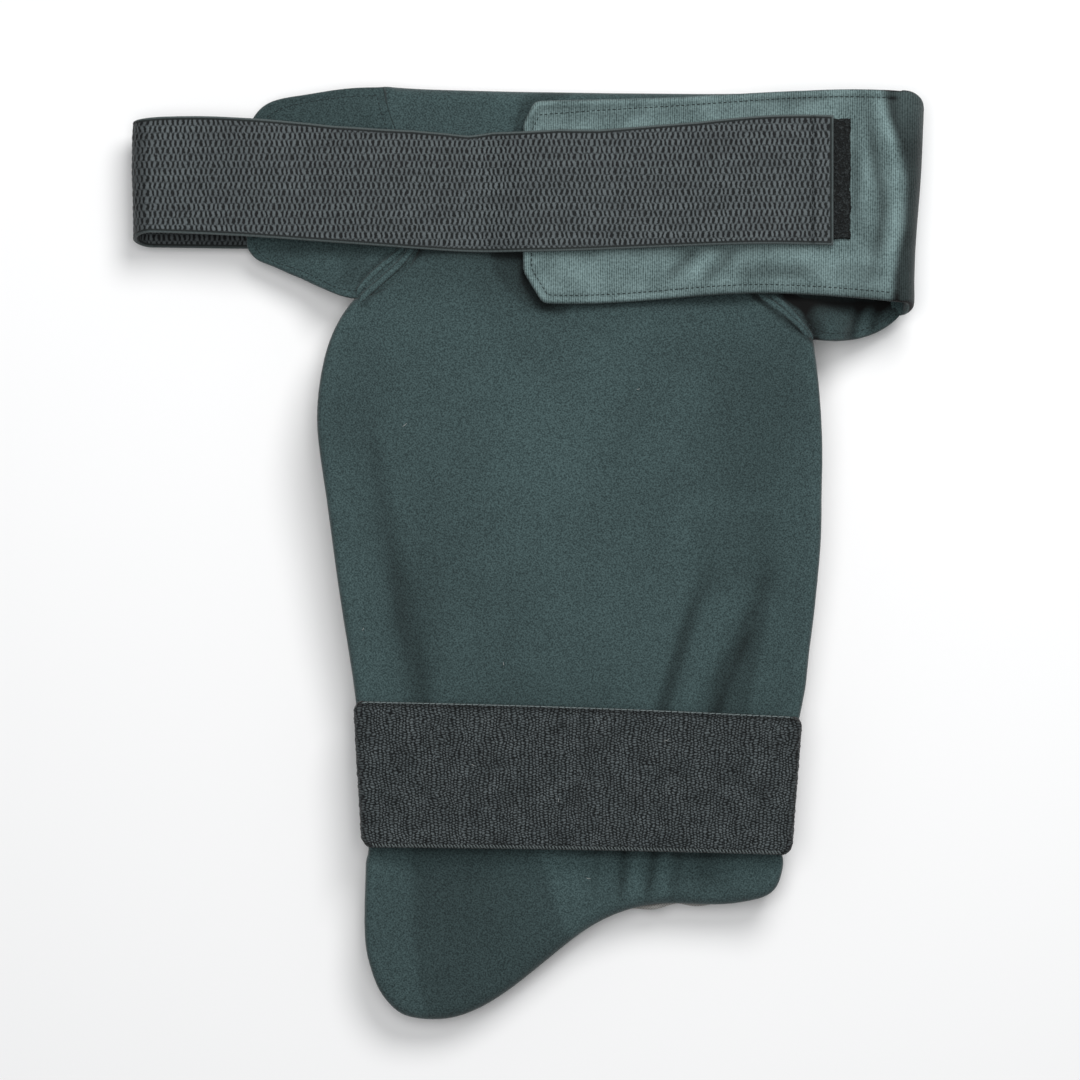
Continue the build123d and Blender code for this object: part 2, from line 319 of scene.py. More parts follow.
def make_piece(name, points, faces, materials, face_material=None, uv=None, attributes=None):
    """A smooth mesh in the scene, from points in millimetres, with values for its materials to read."""
    mesh = bpy.data.meshes.new(name)
    mesh.from_pydata((np.asarray(points) * MM).tolist(), [], [list(map(int, f)) for f in faces])
    for material in materials:
        mesh.materials.append(material)
    if face_material is not None:
        mesh.polygons.foreach_set("material_index", np.asarray(face_material, np.int32))
    mesh.polygons.foreach_set("use_smooth", np.ones(len(mesh.polygons), bool))
    if uv is not None:
        layer = mesh.uv_layers.new(name="weave")
        corners = np.zeros(len(mesh.loops), np.int32)
        mesh.loops.foreach_get("vertex_index", corners)
        layer.data.foreach_set("uv", (np.asarray(uv)[corners] * MM).astype(np.float32).ravel())
    for key, values in (attributes or {}).items():
        attribute = mesh.attributes.new(key, "FLOAT", "POINT")
        attribute.data.foreach_set("value", np.asarray(values, np.float32))
    mesh.update()
    return placed(name, mesh)


def fill(rim, pitch, rings):
    """Plan points and triangles that fill a rim: its own points, rings inside it and an even field."""
    plan = [rim]
    normal = inward(rim)
    for ring in rings:
        moved = rim + normal * ring
        good = (reach(moved, rim, closed=True) > ring * 0.97) & inside(moved, rim)
        plan.append(moved[good])
    low, high = rim.min(0), rim.max(0)
    rows = np.arange(low[1], high[1], pitch * 0.866)
    columns = np.arange(low[0], high[0], pitch)
    field = np.array([(x + (i % 2) * pitch / 2, y) for i, y in enumerate(rows) for x in columns])
    field = field[inside(field, rim)]
    plan.append(field[reach(field, rim, closed=True) > rings[-1] + 0.6 * pitch])
    plan = np.concatenate(plan)
    count = len(rim)
    edges = [(i, (i + 1) % count) for i in range(count)]
    made = delaunay_2d_cdt([Vector(p) for p in plan], edges, [], 1, 1e-5)
    points = np.array([tuple(v) for v in made[0]])
    triangles = np.array([f for f in made[2] if len(f) == 3])
    place = {old: new for new, olds in enumerate(made[3]) for old in olds}
    a, b, c = (points[triangles[:, i]] for i in range(3))
    turned = (b - a)[:, 0] * (c - a)[:, 1] - (b - a)[:, 1] * (c - a)[:, 0] < 0
    triangles[turned] = triangles[turned][:, ::-1]
    return points, triangles, np.array([place[i] for i in range(count)])


def rounded(depth, radius):
    """How far a rolled edge drops at each distance in from it."""
    t = np.clip(1 - depth / radius, 0, 1)
    return radius * (1 - np.sqrt(np.clip(1 - t * t, 0, 1)))


def slab(name, rim, rings, pitch, surfaces, materials, bulge=0.0, steps=4, painted_shading_and_tone=None):
    """A closed sheet over a plan. surfaces(plan, depth) gives upper and lower heights, with depth the
    distance in from the rim, bulge swells its side outwards, and the last function of the plan paints
    shade or light into its colour."""
    plan, triangles, border = fill(rim, pitch, rings)
    depth = reach(plan, rim, closed=True)
    depth[border] = 0
    high, low = surfaces(plan, depth)
    count = len(plan)
    points = [np.column_stack([plan, high]), np.column_stack([plan, low])]
    faces = triangles.tolist() + (triangles[:, ::-1] + count).tolist()
    slot = [0] * len(triangles) + [len(materials) - 1] * len(triangles)
    outward = -inward(rim)
    above = border
    for step in range(1, steps + 1):
        share = step / steps
        below = border + count
        if step < steps:
            level = high[border] * (1 - share) + low[border] * share
            swell = np.broadcast_to(bulge * math.sin(math.pi * share), len(rim))
            points.append(np.column_stack([rim + outward * swell[:, None], level]))
            below = count * 2 + (step - 1) * len(rim) + np.arange(len(rim))
        quads = np.stack([above, below, np.roll(below, -1), np.roll(above, -1)], axis=1)
        faces += quads.tolist()
        slot += [0] * len(quads)
        above = below
    # Painted shade and light on the upper face, carried down the side; the lower face gets none.
    painted_shading = painted_shading_and_tone(plan) if painted_shading_and_tone else np.zeros(count)
    painted_shading = np.concatenate([painted_shading, painted_shading * 0] + [painted_shading[border]] * (steps - 1))
    return make_piece(name, np.concatenate(points), faces, materials, slot, attributes={"painted_shading_and_tone": painted_shading})


def arc(centre, radius, start, end, count):
    """Points round a circle, from one angle in degrees to another."""
    angles = np.radians(np.linspace(start, end, count))
    return np.stack([centre[0] + radius * np.cos(angles), centre[1] + radius * np.sin(angles)], axis=1)


def across_strap(width, pitch):
    """Fractions across a strap, closer together near its two edges."""
    near = [step / width for step in SELVEDGE_STEPS]
    count = max(int((width - 2 * SELVEDGE_STEPS[-1]) / pitch), 2)
    middle = np.linspace(near[-1], 1 - near[-1], count)
    return np.concatenate([near[:-1], middle, [1 - n for n in near[:-1][::-1]]])


def ribbon(name, line, spans, pitch, shares, thick, roll, materials, finished, relief, shift=None,
           inner_shading_share=1.0):
    """A strap or flap that follows a line in XZ, with its outer face to the left of the line.

    spans gives its lowest and highest y at each station, and finished says which of its two ends are
    rolled edges. relief gives what the outer and the inner face stand proud and the painted shade or
    light and the tone there, and shift moves the strap bodily. The inner face takes a share of these,
    given by the last argument."""
    line = walk(line, pitch)
    along = along_line(line)
    way = unit(np.gradient(line, along, axis=0))
    lows, highs = spans(line, along)
    rows, columns = len(line), len(shares)
    y = (lows[:, None] + (highs - lows)[:, None] * shares).ravel()
    s, x, z = (np.repeat(values, columns) for values in (along, line[:, 0], line[:, 1]))
    out = np.repeat(np.stack([-way[:, 1], np.zeros(rows), way[:, 0]], axis=1), columns, axis=0)
    first = along[0] - (0 if finished[0] else RAW_END)
    last = along[-1] + (0 if finished[1] else RAW_END)
    low_side = np.stack([along, lows], 1)
    high_side = np.stack([along, highs], 1)[::-1]
    outline = np.concatenate([low_side, [[last, lows[-1]], [last, highs[-1]]], high_side,
                              [[first, highs[0]], [first, lows[0]]]])
    depth = reach(np.stack([s, y], 1), outline, closed=True)
    half = thick / 2 - np.minimum(rounded(depth, roll), thick * 0.36)
    place = SimpleNamespace(s=s, x=x, y=y, plan=np.stack([x, y], 1), depth=depth, end=along[-1])
    outer, inner, painted_shading_and_tone = relief(place)
    middle = np.stack([x, y, z], axis=1)
    if shift:
        middle = middle + shift(place)
    points = np.concatenate([middle + out * (half + outer)[:, None], middle - out * (half + inner)[:, None]])
    ids = np.arange(rows * columns).reshape(rows, columns)
    a, b, c, d = ids[:-1, :-1].ravel(), ids[1:, :-1].ravel(), ids[1:, 1:].ravel(), ids[:-1, 1:].ravel()
    count = rows * columns
    over = np.stack([a, b, c, d], 1)
    under = np.stack([d, c, b, a], 1) + count
    border = np.concatenate([ids[:, 0], ids[-1, 1:], ids[-2::-1, -1], ids[0, -2:0:-1]])
    after = np.roll(border, -1)
    wall = np.stack([border, border + count, after + count, after], 1)
    faces = np.concatenate([over, under, wall]).tolist()
    slot = [0] * len(over) + [len(materials) - 1] * len(under) + [0] * len(wall)
    uv = np.stack([np.tile(s, 2), np.tile(y, 2)], axis=1)
    attributes = {"edge_mm": np.tile(depth, 2), "painted_shading_and_tone": np.concatenate([painted_shading_and_tone, painted_shading_and_tone * inner_shading_share])}
    return make_piece(name, points, faces, materials, slot, uv, attributes)


def tube_faces(base, rows, turns):
    """Faces of a tube whose rings of points start at a base number, closed at both ends."""
    faces = []
    for i in range(rows - 1):
        for k in range(turns):
            a, b = base + i * turns + k, base + i * turns + (k + 1) % turns
            faces.append((a, a + turns, b + turns, b))
    faces.append([base + k for k in range(turns)])
    faces.append([base + (rows - 1) * turns + k for k in range(turns)][::-1])
    return faces


def threads(name, lines, width, material):
    """Short lengths of thread, each along its own 3-D line, with rounded ends."""
    angles = np.linspace(0, 2 * math.pi, THREAD_SIDES, endpoint=False)[:, None]
    points, faces, base = [], [], 0
    for line in lines:
        line = np.array(line, float)
        way = unit(np.gradient(line, axis=0))
        side = unit(np.cross(way, (0, 0, 1.0)))
        ring = side[:, None] * np.cos(angles) + np.cross(side, way)[:, None] * np.sin(angles)
        share = np.linspace(-1, 1, len(line))
        radii = width / 2 * np.sqrt(np.maximum(1 - share**4, 0.05))
        points.append((line[:, None] + ring * radii[:, None, None]).reshape(-1, 3))
        faces += tube_faces(base, len(line), THREAD_SIDES)
        base += len(line) * THREAD_SIDES
    return make_piece(name, np.concatenate(points), faces, [material])


def welt(name, line, surface, width, rise, material):
    """A narrow padded strip of cloth laid along a plan line, with painted shade where it meets what is under
    it.
    """
    line = flow(line, 0.9)
    heights = evened(surface(line), 6)
    way = unit(np.gradient(line, axis=0))
    side = np.stack([-way[:, 1], way[:, 0]], 1)
    angles = np.linspace(0, 2 * math.pi, WELT_SIDES, endpoint=False)
    taper = np.sqrt(smooth(np.minimum(np.arange(len(line)), np.arange(len(line))[::-1]) / 3 + 0.1))
    out = side[:, None] * (np.cos(angles) * width / 2)[:, None] * taper[:, None, None]
    plan = line[:, None] + out
    up = heights[:, None] + np.sin(angles) * rise * taper[:, None]
    points = np.dstack([plan, up]).reshape(-1, 3)
    # Painted shade down the strip's sides and a little painted light along its top
    shade = np.tile(0.12 - 0.85 * np.abs(np.cos(angles)) ** 4, len(line))
    faces = tube_faces(0, len(line), WELT_SIDES)
    return make_piece(name, points, faces, [material], attributes={"painted_shading_and_tone": shade})


def stitches(name, line, surface, length, gap, width, material, tilt=0.0):
    """A row of sewn stitches along a plan line, each one a rounded dash lying on a surface."""
    line = walk(line, 0.5)
    total = along_line(line)[-1]
    knots = walk(line, total / max(int(total / (length + gap)), 1) / 2)
    ends = []
    for a, b in zip(knots[:-1:2], knots[1::2]):
        way = (b - a) / np.linalg.norm(b - a)
        side = np.array([-way[1], way[0]])
        lean = way * math.cos(tilt) + side * math.sin(tilt)
        ends.append([(a + b) / 2 + lean * length * share for share in (-0.5, -0.3, 0.0, 0.3, 0.5)])
    ends = np.array(ends)
    heights = surface(ends.reshape(-1, 2)).reshape(len(ends), -1)
    heights[:, [0, -1]] -= width * 0.3
    return threads(name, np.dstack([ends, heights]), width, material)


# ---------------------------------------------------------------------------
# Materials

STUDIO_GAIN = 1.4
CLOTH_SHINE = 0.2


def screen(red, green, blue):
    """The shader colour that looks like this on screen, from 0 to 255, under the studio light."""
    linear = []
    for value in (red, green, blue):
        share = value / 255
        share = share / 12.92 if share <= 0.04045 else ((share + 0.055) / 1.055) ** 2.4
        linear.append(share / STUDIO_GAIN)
    return (*linear, 1.0)


class Finish:
    """A material with one principled shader, and short ways to make the nodes that feed it."""

    def __init__(self, name, **constants):
        self.made = bpy.data.materials.new(name)
        self.made.use_nodes = True
        self.nodes, self.links = self.made.node_tree.nodes, self.made.node_tree.links
        self.shader = self.nodes["Principled BSDF"]
        self.shader.inputs["Specular IOR Level"].default_value = CLOTH_SHINE
        for key, value in constants.items():
            self.shader.inputs[key.replace("_", " ")].default_value = value

    def node(self, kind, inputs, **settings):
        made = self.nodes.new(kind)
        for key, value in settings.items():
            setattr(made, key, value)
        for key, value in inputs.items():
            if isinstance(value, bpy.types.NodeSocket):
                self.links.new(value, made.inputs[key])
            else:
                made.inputs[key].default_value = value
        return made

    def place(self):
        return self.node("ShaderNodeTexCoord", {}).outputs["Object"]

    def axes(self, at):
        return self.node("ShaderNodeSeparateXYZ", {0: at}).outputs

    def weave(self):
        """Along and across a strap, in metres."""
        uv = self.node("ShaderNodeUVMap", {}, uv_map="weave").outputs["UV"]
        return uv, self.axes(uv)

    def attribute(self, name):
        return self.node("ShaderNodeAttribute", {}, attribute_name=name).outputs["Fac"]

    def noise(self, at, grain, detail=2.0):
        """Noise with grains of a size in millimetres."""
        made = self.node("ShaderNodeTexNoise", {"Vector": at, "Scale": 1 / (grain * MM), "Detail": detail})
        return made.outputs["Fac"]

    def math(self, operation, a, b=0.0):
        return self.node("ShaderNodeMath", {0: a, 1: b}, operation=operation).outputs[0]

    def total(self, first, *terms):
        """A first value and others, each with its weight."""
        for value, weight in terms:
            first = self.math("ADD", first, self.math("MULTIPLY", value, weight))
        return first

    def scaled(self, at, factors):
        return self.node("ShaderNodeVectorMath", {0: at, 1: factors}, operation="MULTIPLY").outputs[0]

    def spread(self, value, low, high):
        """How far a value is from low to high, smoothly, and kept between 0 and 1."""
        inputs = {"Value": value, "From Min": low, "From Max": high}
        return self.node("ShaderNodeMapRange", inputs, interpolation_type="SMOOTHSTEP").outputs["Result"]

    def fleck(self, at, grain, detail, low, high):
        """Noise spread from 0 to 1 between two of its levels."""
        return self.spread(self.noise(at, grain, detail), low, high)

    def drift(self, at, value, grain, size):
        """A length in metres, wandering up to a size in millimetres over noise with a grain."""
        return self.total(value, (self.math("SUBTRACT", self.noise(at, grain), 0.5), 2 * size * MM))

    def wave(self, value, pitch):
        """A cosine wave along a length in metres, with a pitch in millimetres."""
        return self.math("COSINE", self.math("MULTIPLY", value, 2 * math.pi / (pitch * MM)))

    def mix(self, share, a, b):
        made = self.node("ShaderNodeMix", {0: share, 6: a, 7: b}, data_type="RGBA")
        return made.outputs[2]

    def colour(self, socket):
        """The base colour, made lighter or darker by the painted shade and light, and the random tone, that
        the mesh carries.
        """
        scale = self.math("ADD", self.attribute("painted_shading_and_tone"), 1.0)
        toned = self.node("ShaderNodeVectorMath", {0: socket, "Scale": scale}, operation="SCALE")
        self.links.new(toned.outputs[0], self.shader.inputs["Base Color"])

    def bump(self, height, depth):
        """Relief of a depth in millimetres."""
        made = self.node("ShaderNodeBump", {"Height": height, "Distance": depth * MM, "Strength": 1.0})
        self.links.new(made.outputs["Normal"], self.shader.inputs["Normal"])

    def cloth(self, share, dark, light, height, depth):
        """The finished material: from dark to light by a share, with relief of a depth in millimetres."""
        self.colour(self.mix(share, dark, light))
        self.bump(height, depth)
        return self.made


def leg_fabric():
    """Fine matt knit, dark green-grey, with a faint heather; its grain lies askew, so no lattice shows."""
    finish = Finish("leg_fabric", Roughness=0.88, Sheen_Weight=0.1, Sheen_Roughness=0.5)
    at = finish.place()
    turn = {"Vector": at, "Axis": (0.6, 0.5, 0.3), "Angle": 0.8}
    askew = finish.node("ShaderNodeVectorRotate", turn).outputs[0]
    grain = finish.fleck(askew, 0.6, 2.5, 0.28, 0.72)
    cloud = finish.fleck(at, 38.0, 3.0, 0.3, 0.7)
    dark = finish.mix(cloud, screen(40, 54, 55), screen(44, 60, 61))
    light = finish.mix(cloud, screen(76, 97, 98), screen(82, 104, 105))
    return finish.cloth(grain, dark, light, finish.noise(at, 0.6), 0.12)


def outer_fabric():
    """Pale grey close weave of the moulded outer face."""
    finish = Finish("outer_fabric", Roughness=0.8, Sheen_Weight=0.1)
    at = finish.place()
    x, y, _ = finish.axes(at)
    check = finish.math("MULTIPLY", finish.wave(x, 1.1), finish.wave(y, 1.1))
    yarn = finish.spread(check, -1.0, 1.0)
    cloud = finish.fleck(at, 25.0, 3.0, 0.3, 0.7)
    pale = finish.mix(cloud, screen(168, 167, 163), screen(184, 182, 177))
    return finish.cloth(yarn, screen(140, 139, 136), pale, yarn, 0.12)


def loop_fabric(name, woven):
    """Brushed loop fabric with fine ribs along Y, pale green-grey; woven takes them from the strap's UVs."""
    finish = Finish(name, Roughness=0.82, Sheen_Weight=0.1, Sheen_Roughness=0.45)
    at = finish.weave()[0] if woven else finish.place()
    across = finish.axes(at)[0]
    rib = finish.spread(finish.wave(finish.drift(at, across, 9.0, 0.3), RIB_PITCH), -0.9, 0.9)
    nap = finish.fleck(at, 0.9, 2.0, 0.28, 0.72)
    cloud = finish.fleck(at, 13.0, 3.0, 0.3, 0.7)
    pile = finish.total(finish.math("MULTIPLY", rib, 0.38), (nap, 0.38), (cloud, 0.27))
    return finish.cloth(pile, screen(50, 66, 66), screen(146, 171, 171), pile, 0.25)


def woven_elastic():
    """Staggered rows of pale threads with dark gaps, and a plain selvedge at each side."""
    finish = Finish("woven_elastic", Roughness=0.7, Sheen_Weight=0.08)
    uv, (s, y, _) = finish.weave()
    columns = finish.wave(finish.drift(uv, s, 4.0, 1.2), ELASTIC_COLUMN)
    cells = finish.math("MULTIPLY", columns, finish.wave(y, 2 * ELASTIC_ROW))
    woven = finish.spread(finish.total(cells, (finish.noise(uv, 0.6), 1.6)), 0.25, 1.3)
    streak = finish.fleck(finish.scaled(uv, (0.12, 1.0, 1.0)), 2.6, 2.0, 0.3, 0.7)
    yarn = finish.mix(streak, screen(88, 95, 97), screen(102, 110, 112))
    body = finish.mix(woven, screen(13, 17, 18), yarn)
    edge = finish.attribute("edge_mm")
    cord = finish.mix(finish.spread(edge, 0.9, 0.5), screen(32, 38, 38), screen(84, 94, 94))
    return finish.cloth(finish.spread(edge, 1.7, 1.3), body, cord, woven, 0.15)


def towelling_elastic():
    """Towelling elastic: dark staggered loops in wandering columns, with painted shade low in the pile and
    painted light on the loop tops.
    """
    finish = Finish("towelling_elastic", Roughness=0.9, Sheen_Weight=0.1)
    uv, (s, y, _) = finish.weave()
    across = finish.drift(uv, finish.drift(uv, s, 7.0, 2.2), 2.4, 0.75)
    along = finish.drift(uv, y, 3.0, 1.0)
    columns = finish.math("MULTIPLY", finish.wave(across, LOOP_COLUMN), 0.4)
    staggered = finish.math("MULTIPLY", finish.wave(across, 2 * LOOP_COLUMN), finish.wave(along, LOOP_ROW))
    upright = finish.noise(finish.scaled(uv, (1.0, 0.4, 1.0)), 1.6)
    pile = finish.total(columns, (staggered, 0.7), (finish.noise(uv, 0.8), 1.9), (upright, 1.1))
    pile = finish.spread(pile, 0.85, 2.3)
    worn = finish.fleck(uv, 9.0, 2.0, 0.25, 0.75)
    top = finish.mix(worn, screen(84, 92, 94), screen(100, 108, 110))
    return finish.cloth(pile, screen(13, 17, 18), top, pile, 0.25)


def hook_tape():
    """Black hook tape with matted lint."""
    finish = Finish("hook_tape", Roughness=0.75)
    at = finish.place()
    hooks = finish.fleck(at, 0.9, 2.0, 0.35, 0.7)
    lint = finish.fleck(at, 1.5, 4.0, 0.56, 0.74)
    body = finish.mix(hooks, screen(10, 12, 12), screen(44, 49, 50))
    return finish.cloth(finish.math("MULTIPLY", lint, 0.3), body, screen(84, 90, 90), hooks, 0.4)


def thread(name, colour):
    """Twisted sewing thread."""
    finish = Finish(name, Roughness=0.55)
    ply = finish.fleck(finish.place(), 0.25, 1.0, 0.35, 0.65)
    shade = tuple(0.6 * value for value in colour[:3])
    finish.colour(finish.mix(ply, (*shade, 1.0), colour))
    return finish.made


def plain_floor():
    finish = Finish("floor", Roughness=0.9)
    speck = finish.noise(finish.place(), 300.0)
    finish.colour(finish.mix(speck, (0.86, 0.86, 0.86, 1.0), (0.88, 0.88, 0.88, 1.0)))
    return finish.made


RIB_PITCH = 0.9
ELASTIC_COLUMN, ELASTIC_ROW = 2.03, 2.83
LOOP_COLUMN, LOOP_ROW = 1.51, 1.08

LEG_FABRIC = leg_fabric()
OUTER_FABRIC = outer_fabric()
LOOP_FABRIC = loop_fabric("loop_fabric", woven=True)
WING_BACK_FABRIC = loop_fabric("wing_back_fabric", woven=False)
WOVEN_ELASTIC = woven_elastic()
TOWELLING = towelling_elastic()
HOOK_TAPE = hook_tape()
DARK_THREAD = thread("dark_thread", screen(30, 36, 37))
FABRIC_THREAD = thread("fabric_thread", screen(46, 58, 59))
FLAP_THREAD = thread("flap_thread", screen(44, 56, 56))
STRAP_THREAD = thread("strap_thread", screen(116, 126, 126))
GREY_THREAD = thread("grey_thread", screen(150, 164, 164))
LINT = thread("lint", screen(196, 200, 198))


# ---------------------------------------------------------------------------
# Camera, light and floor

# How much of the object's level the picture spans, and the point in its middle
SHEET_WIDTH = 432.0
VIEW_CENTRE = (4.6, 5.6, 24.0)
CAMERA_HEIGHT = 2000.0
SENSOR = 36.0
# Two soft disks that face the object: where each one is and how wide, in metres, and its watts
LIGHTS = {"key_light": ((0.35, 0.8, 1.2), 0.7, 13.5), "top_light": ((-0.1, 0.1, 1.9), 1.0, 18.0)}
SKY_COLOUR, SKY_STRENGTH = (0.95, 0.97, 1.0, 1.0), 0.22
FLOOR_REACH = 6.0 / MM


def add_camera():
    camera = placed("camera", bpy.data.cameras.new("camera"))
    camera.data.sensor_width = SENSOR
    camera.data.lens = SENSOR * CAMERA_HEIGHT / SHEET_WIDTH
    camera.location = Vector(VIEW_CENTRE) * MM + Vector((0, 0, CAMERA_HEIGHT * MM))
    bpy.context.scene.camera = camera


def add_light(name, place, size, power):
    lamp = bpy.data.lights.new(name, "AREA")
    lamp.shape = "DISK"
    lamp.size = size
    lamp.energy = power
    light = placed(name, lamp)
    light.location = place
    light.rotation_euler = (-Vector(place)).to_track_quat("-Z", "Y").to_euler()


def add_studio():
    for name, facts in LIGHTS.items():
        add_light(name, *facts)
    world = bpy.data.worlds.new("studio")
    world.use_nodes = True
    world.node_tree.nodes["Background"].inputs["Color"].default_value = SKY_COLOUR
    world.node_tree.nodes["Background"].inputs["Strength"].default_value = SKY_STRENGTH
    bpy.context.scene.world = world
    bpy.context.scene.view_settings.view_transform = "Standard"
    corners = [(x * FLOOR_REACH, y * FLOOR_REACH, 0) for x, y in ((-1, -1), (1, -1), (1, 1), (-1, 1))]
    make_piece("floor", corners, [(0, 1, 2, 3)], [plain_floor()])


# ---------------------------------------------------------------------------
# The pad

LINING = Solid("leg_lining")
PAD_RIM = LINING.rim(1.8)
PAD_THICK = 16.0
SIDE_SLOPE = math.tan(math.radians(28.0))
FACE_MARGIN = 40
RIB_HEIGHT, RIB_CORNER, RIB_SHOULDER = 5.0, 10.0, 8.0
SEAM_DEPTH = 12.5
EDGE_ROLL = 5.0
NECK_ROLL = 0.5
STRAP_PULL = 1.0


def face_line():
    """The leg face's height across the pad, with the straight slope carried on past both sides."""
    x = np.arange(PAD_RIM[:, 0].min() + 0.6, PAD_RIM[:, 0].max() - 0.6, 0.5)
    low, high = span_at(PAD_RIM, x)
    z = LINING.height(np.stack([x, (low + high) / 2], 1))
    rise = FACE_MARGIN * SIDE_SLOPE
    x = np.concatenate([[x[0] - FACE_MARGIN], x, [x[-1] + FACE_MARGIN]])
    return x, np.concatenate([[z[0] + rise], z, [z[-1] + rise]])


FACE_X, FACE_Z = face_line()
FACE_TILT = np.arctan(np.gradient(FACE_Z, FACE_X))


def under_face(x, depth):
    """Height of the level at a depth square to the leg face; each point may have its own depth."""
    depth = np.broadcast_to(depth, np.shape(x)).astype(float)
    at = np.array(x, float)
    for _ in range(3):
        at = x - depth * np.sin(np.interp(at, FACE_X, FACE_TILT))
    tilt = np.interp(at, FACE_X, FACE_TILT)
    return np.interp(at, FACE_X, FACE_Z) - depth * np.cos(tilt)


# Creases and ridges in the leg fabric: points along each one, its depth and its width
LEG_CREASES = {
    "left_bend": ([(-66, 66), (-58, 22), (-53, -3), (-45, -50), (-43, -118), (-45, -172)], 2.0, 4.2),
    "right_long": ([(74, -2), (67.5, -18), (61, -38), (56, -55), (53, -68), (47, -105)], 1.9, 2.6),
    "right_short": ([(97, 2), (94, -12), (90, -23), (83.5, -38), (76, -55), (66, -105)], 2.0, 3.2),
    "right_bend": ([(88, 88), (87, 50), (93, 10)], 0.8, 7.0),
    "upper_right": ([(62, 84), (50, 58), (38, 28)], 0.5, 7.0),
    "pucker_a": ([(29, -102), (28.5, -120), (26, -138)], 0.5, 1.8),
    "pucker_b": ([(38.5, -102), (38, -122), (34, -138)], 1.3, 2.0),
    "pucker_c": ([(49.5, -102), (49, -122), (44, -138)], 1.4, 2.0),
    "pucker_d": ([(61, -102), (60.5, -120), (57, -136)], 0.9, 2.0),
    "lower_right": ([(72, -102), (71, -122), (68, -138)], 0.8, 5.0),
    "lower_slant": ([(-2, -106), (3, -124), (12, -150)], 0.5, 4.0),
    "right_fold": ([(84, -4), (78, -22), (70, -44), (64, -60), (56, -100)], -1.0, 2.8),
    "bulge_b": ([(43.5, -102), (43, -122), (39, -138)], -0.8, 2.2),
    "bulge_c": ([(55, -102), (54.5, -122), (50, -138)], -0.8, 2.2),
}
# Painted shade and light in the leg fabric, along creases, bends and slopes, towards the top and toe, and as
# shadows by the strap, belt and flap: points along a line, how much, and how wide
LEG_PAINTED_SHADE_AND_LIGHT = {
    "left_bend_top": ([(-65, 62), (-60, 34), (-54, 0), (-49, -30)], -0.24, 3.2),
    "left_bend": ([(-56, 14), (-50, -28), (-44, -52), (-41, -90), (-43, -130)], -0.36, 5.0),
    "left_zone": ([(-46, 10), (-40, -30), (-36, -60)], -0.14, 9.0),
    "left_side": ([(-80, 70), (-71, 10), (-64, -50), (-58, -110), (-58, -170)], 0.10, 7.0),
    "right_long": ([(76, -2), (67.5, -18), (61, -38), (56, -55), (53, -68), (47, -105)], -0.50, 2.8),
    "right_short": ([(99, 4), (94, -12), (90, -23), (83.5, -38), (76, -55), (66, -105)], -0.46, 3.6),
    "right_fold": ([(86, -4), (79, -22), (71, -44), (65, -60), (56, -105)], 0.10, 2.6),
    "right_bend": ([(86, 96), (83, 50), (86, 2)], -0.16, 12.0),
    "right_side": ([(110, 70), (105, 0), (98, -60), (96, -84)], 0.10, 6.0),
    "upper_ridge": ([(72, 80), (60, 56), (46, 28)], 0.10, 6.0),
    "upper_shade": ([(50, 74), (40, 50), (34, 26)], -0.08, 7.0),
    "pucker_a": ([(27.5, -98), (27, -122), (25, -144)], -0.22, 1.6),
    "pucker_b": ([(38.5, -98), (38.2, -122), (36, -144)], -0.50, 1.7),
    "pucker_c": ([(50.5, -98), (50, -122), (46, -144)], -0.52, 1.7),
    "pucker_d": ([(60.5, -98), (60, -122), (57, -144)], -0.30, 1.9),
    "pucker_e": ([(71, -104), (71, -122), (70, -138)], -0.28, 5.0),
    "bulge_b": ([(44.3, -98), (44, -124), (41, -144)], 0.26, 2.2),
    "bulge_c": ([(55.5, -98), (55, -124), (52, -144)], 0.22, 2.2),
    "lower_right": ([(86, -108), (86, -124), (84, -138)], 0.10, 6.0),
    "centre": ([(-30, 56), (0, 62), (10, 20), (-10, -30)], 0.08, 32.0),
    "top": ([(-80, 112), (0, 118), (90, 110)], -0.27, 15.0),
    "lower_body": ([(-30, -62), (10, -66), (50, -60)], -0.08, 18.0),
    "toe": ([(-20, -96), (-24, -130), (-28, -160), (-34, -190)], -0.10, 16.0),
    "toe_right": ([(4, -104), (12, -124), (22, -144)], 0.12, 7.0),
    "under_strap": ([(-4, -118.8), (20, -119.4), (60, -120.4), (104, -121)], -0.45, 1.3),
    "by_flap": ([(0, 124), (-1.5, 112), (1, 105), (8, 99), (16, 98)], -0.45, 2.6),
    "under_flap": ([(-10, 99), (50, 101.0), (124, 104)], -0.36, 2.2),
    "under_belt": ([(-70, 121.5), (-20, 120.5), (20, 119)], -0.4, 2.0),
    # painted light that pales the shadow the strap casts below its lower edge
    "below_strap": ([(-90, -123), (20, -124), (128, -126)], 0.25, 4.5),
}
# Patches of painted shade with clear edges, by the flap, round the creases and towards the toe: outline, how
# much, and how far the edge fades
LEG_PAINTED_SHADE_PATCHES = {
    "toe": ([(-47, -108), (-46, -150), (-44, -172), (-38, -196), (30, -170), (14, -150), (4, -119),
             (2, -108)], -0.24, 3.0),
    "above_creases": ([(66, 14), (98, 16), (97, -14), (82, -12), (68, -18)], -0.16, 9.0),
    "crease_foot": ([(86, -34), (76, -58), (71, -72), (71, -90), (90, -90), (88.5, -60), (91, -46),
                     (96, -24)], -0.30, 3.2),
    "flap_shadow": ([(-16, 126), (-13.5, 112), (-8, 105), (0, 98), (14, 96), (22, 104), (4, 112),
                     (0, 126)], -0.28, 2.5),
    "flap_top_shadow": ([(-6.5, 160), (-6, 174), (-2, 183), (8, 186), (20, 186), (8, 180), (0, 160)],
                        -0.4, 2.4),
}
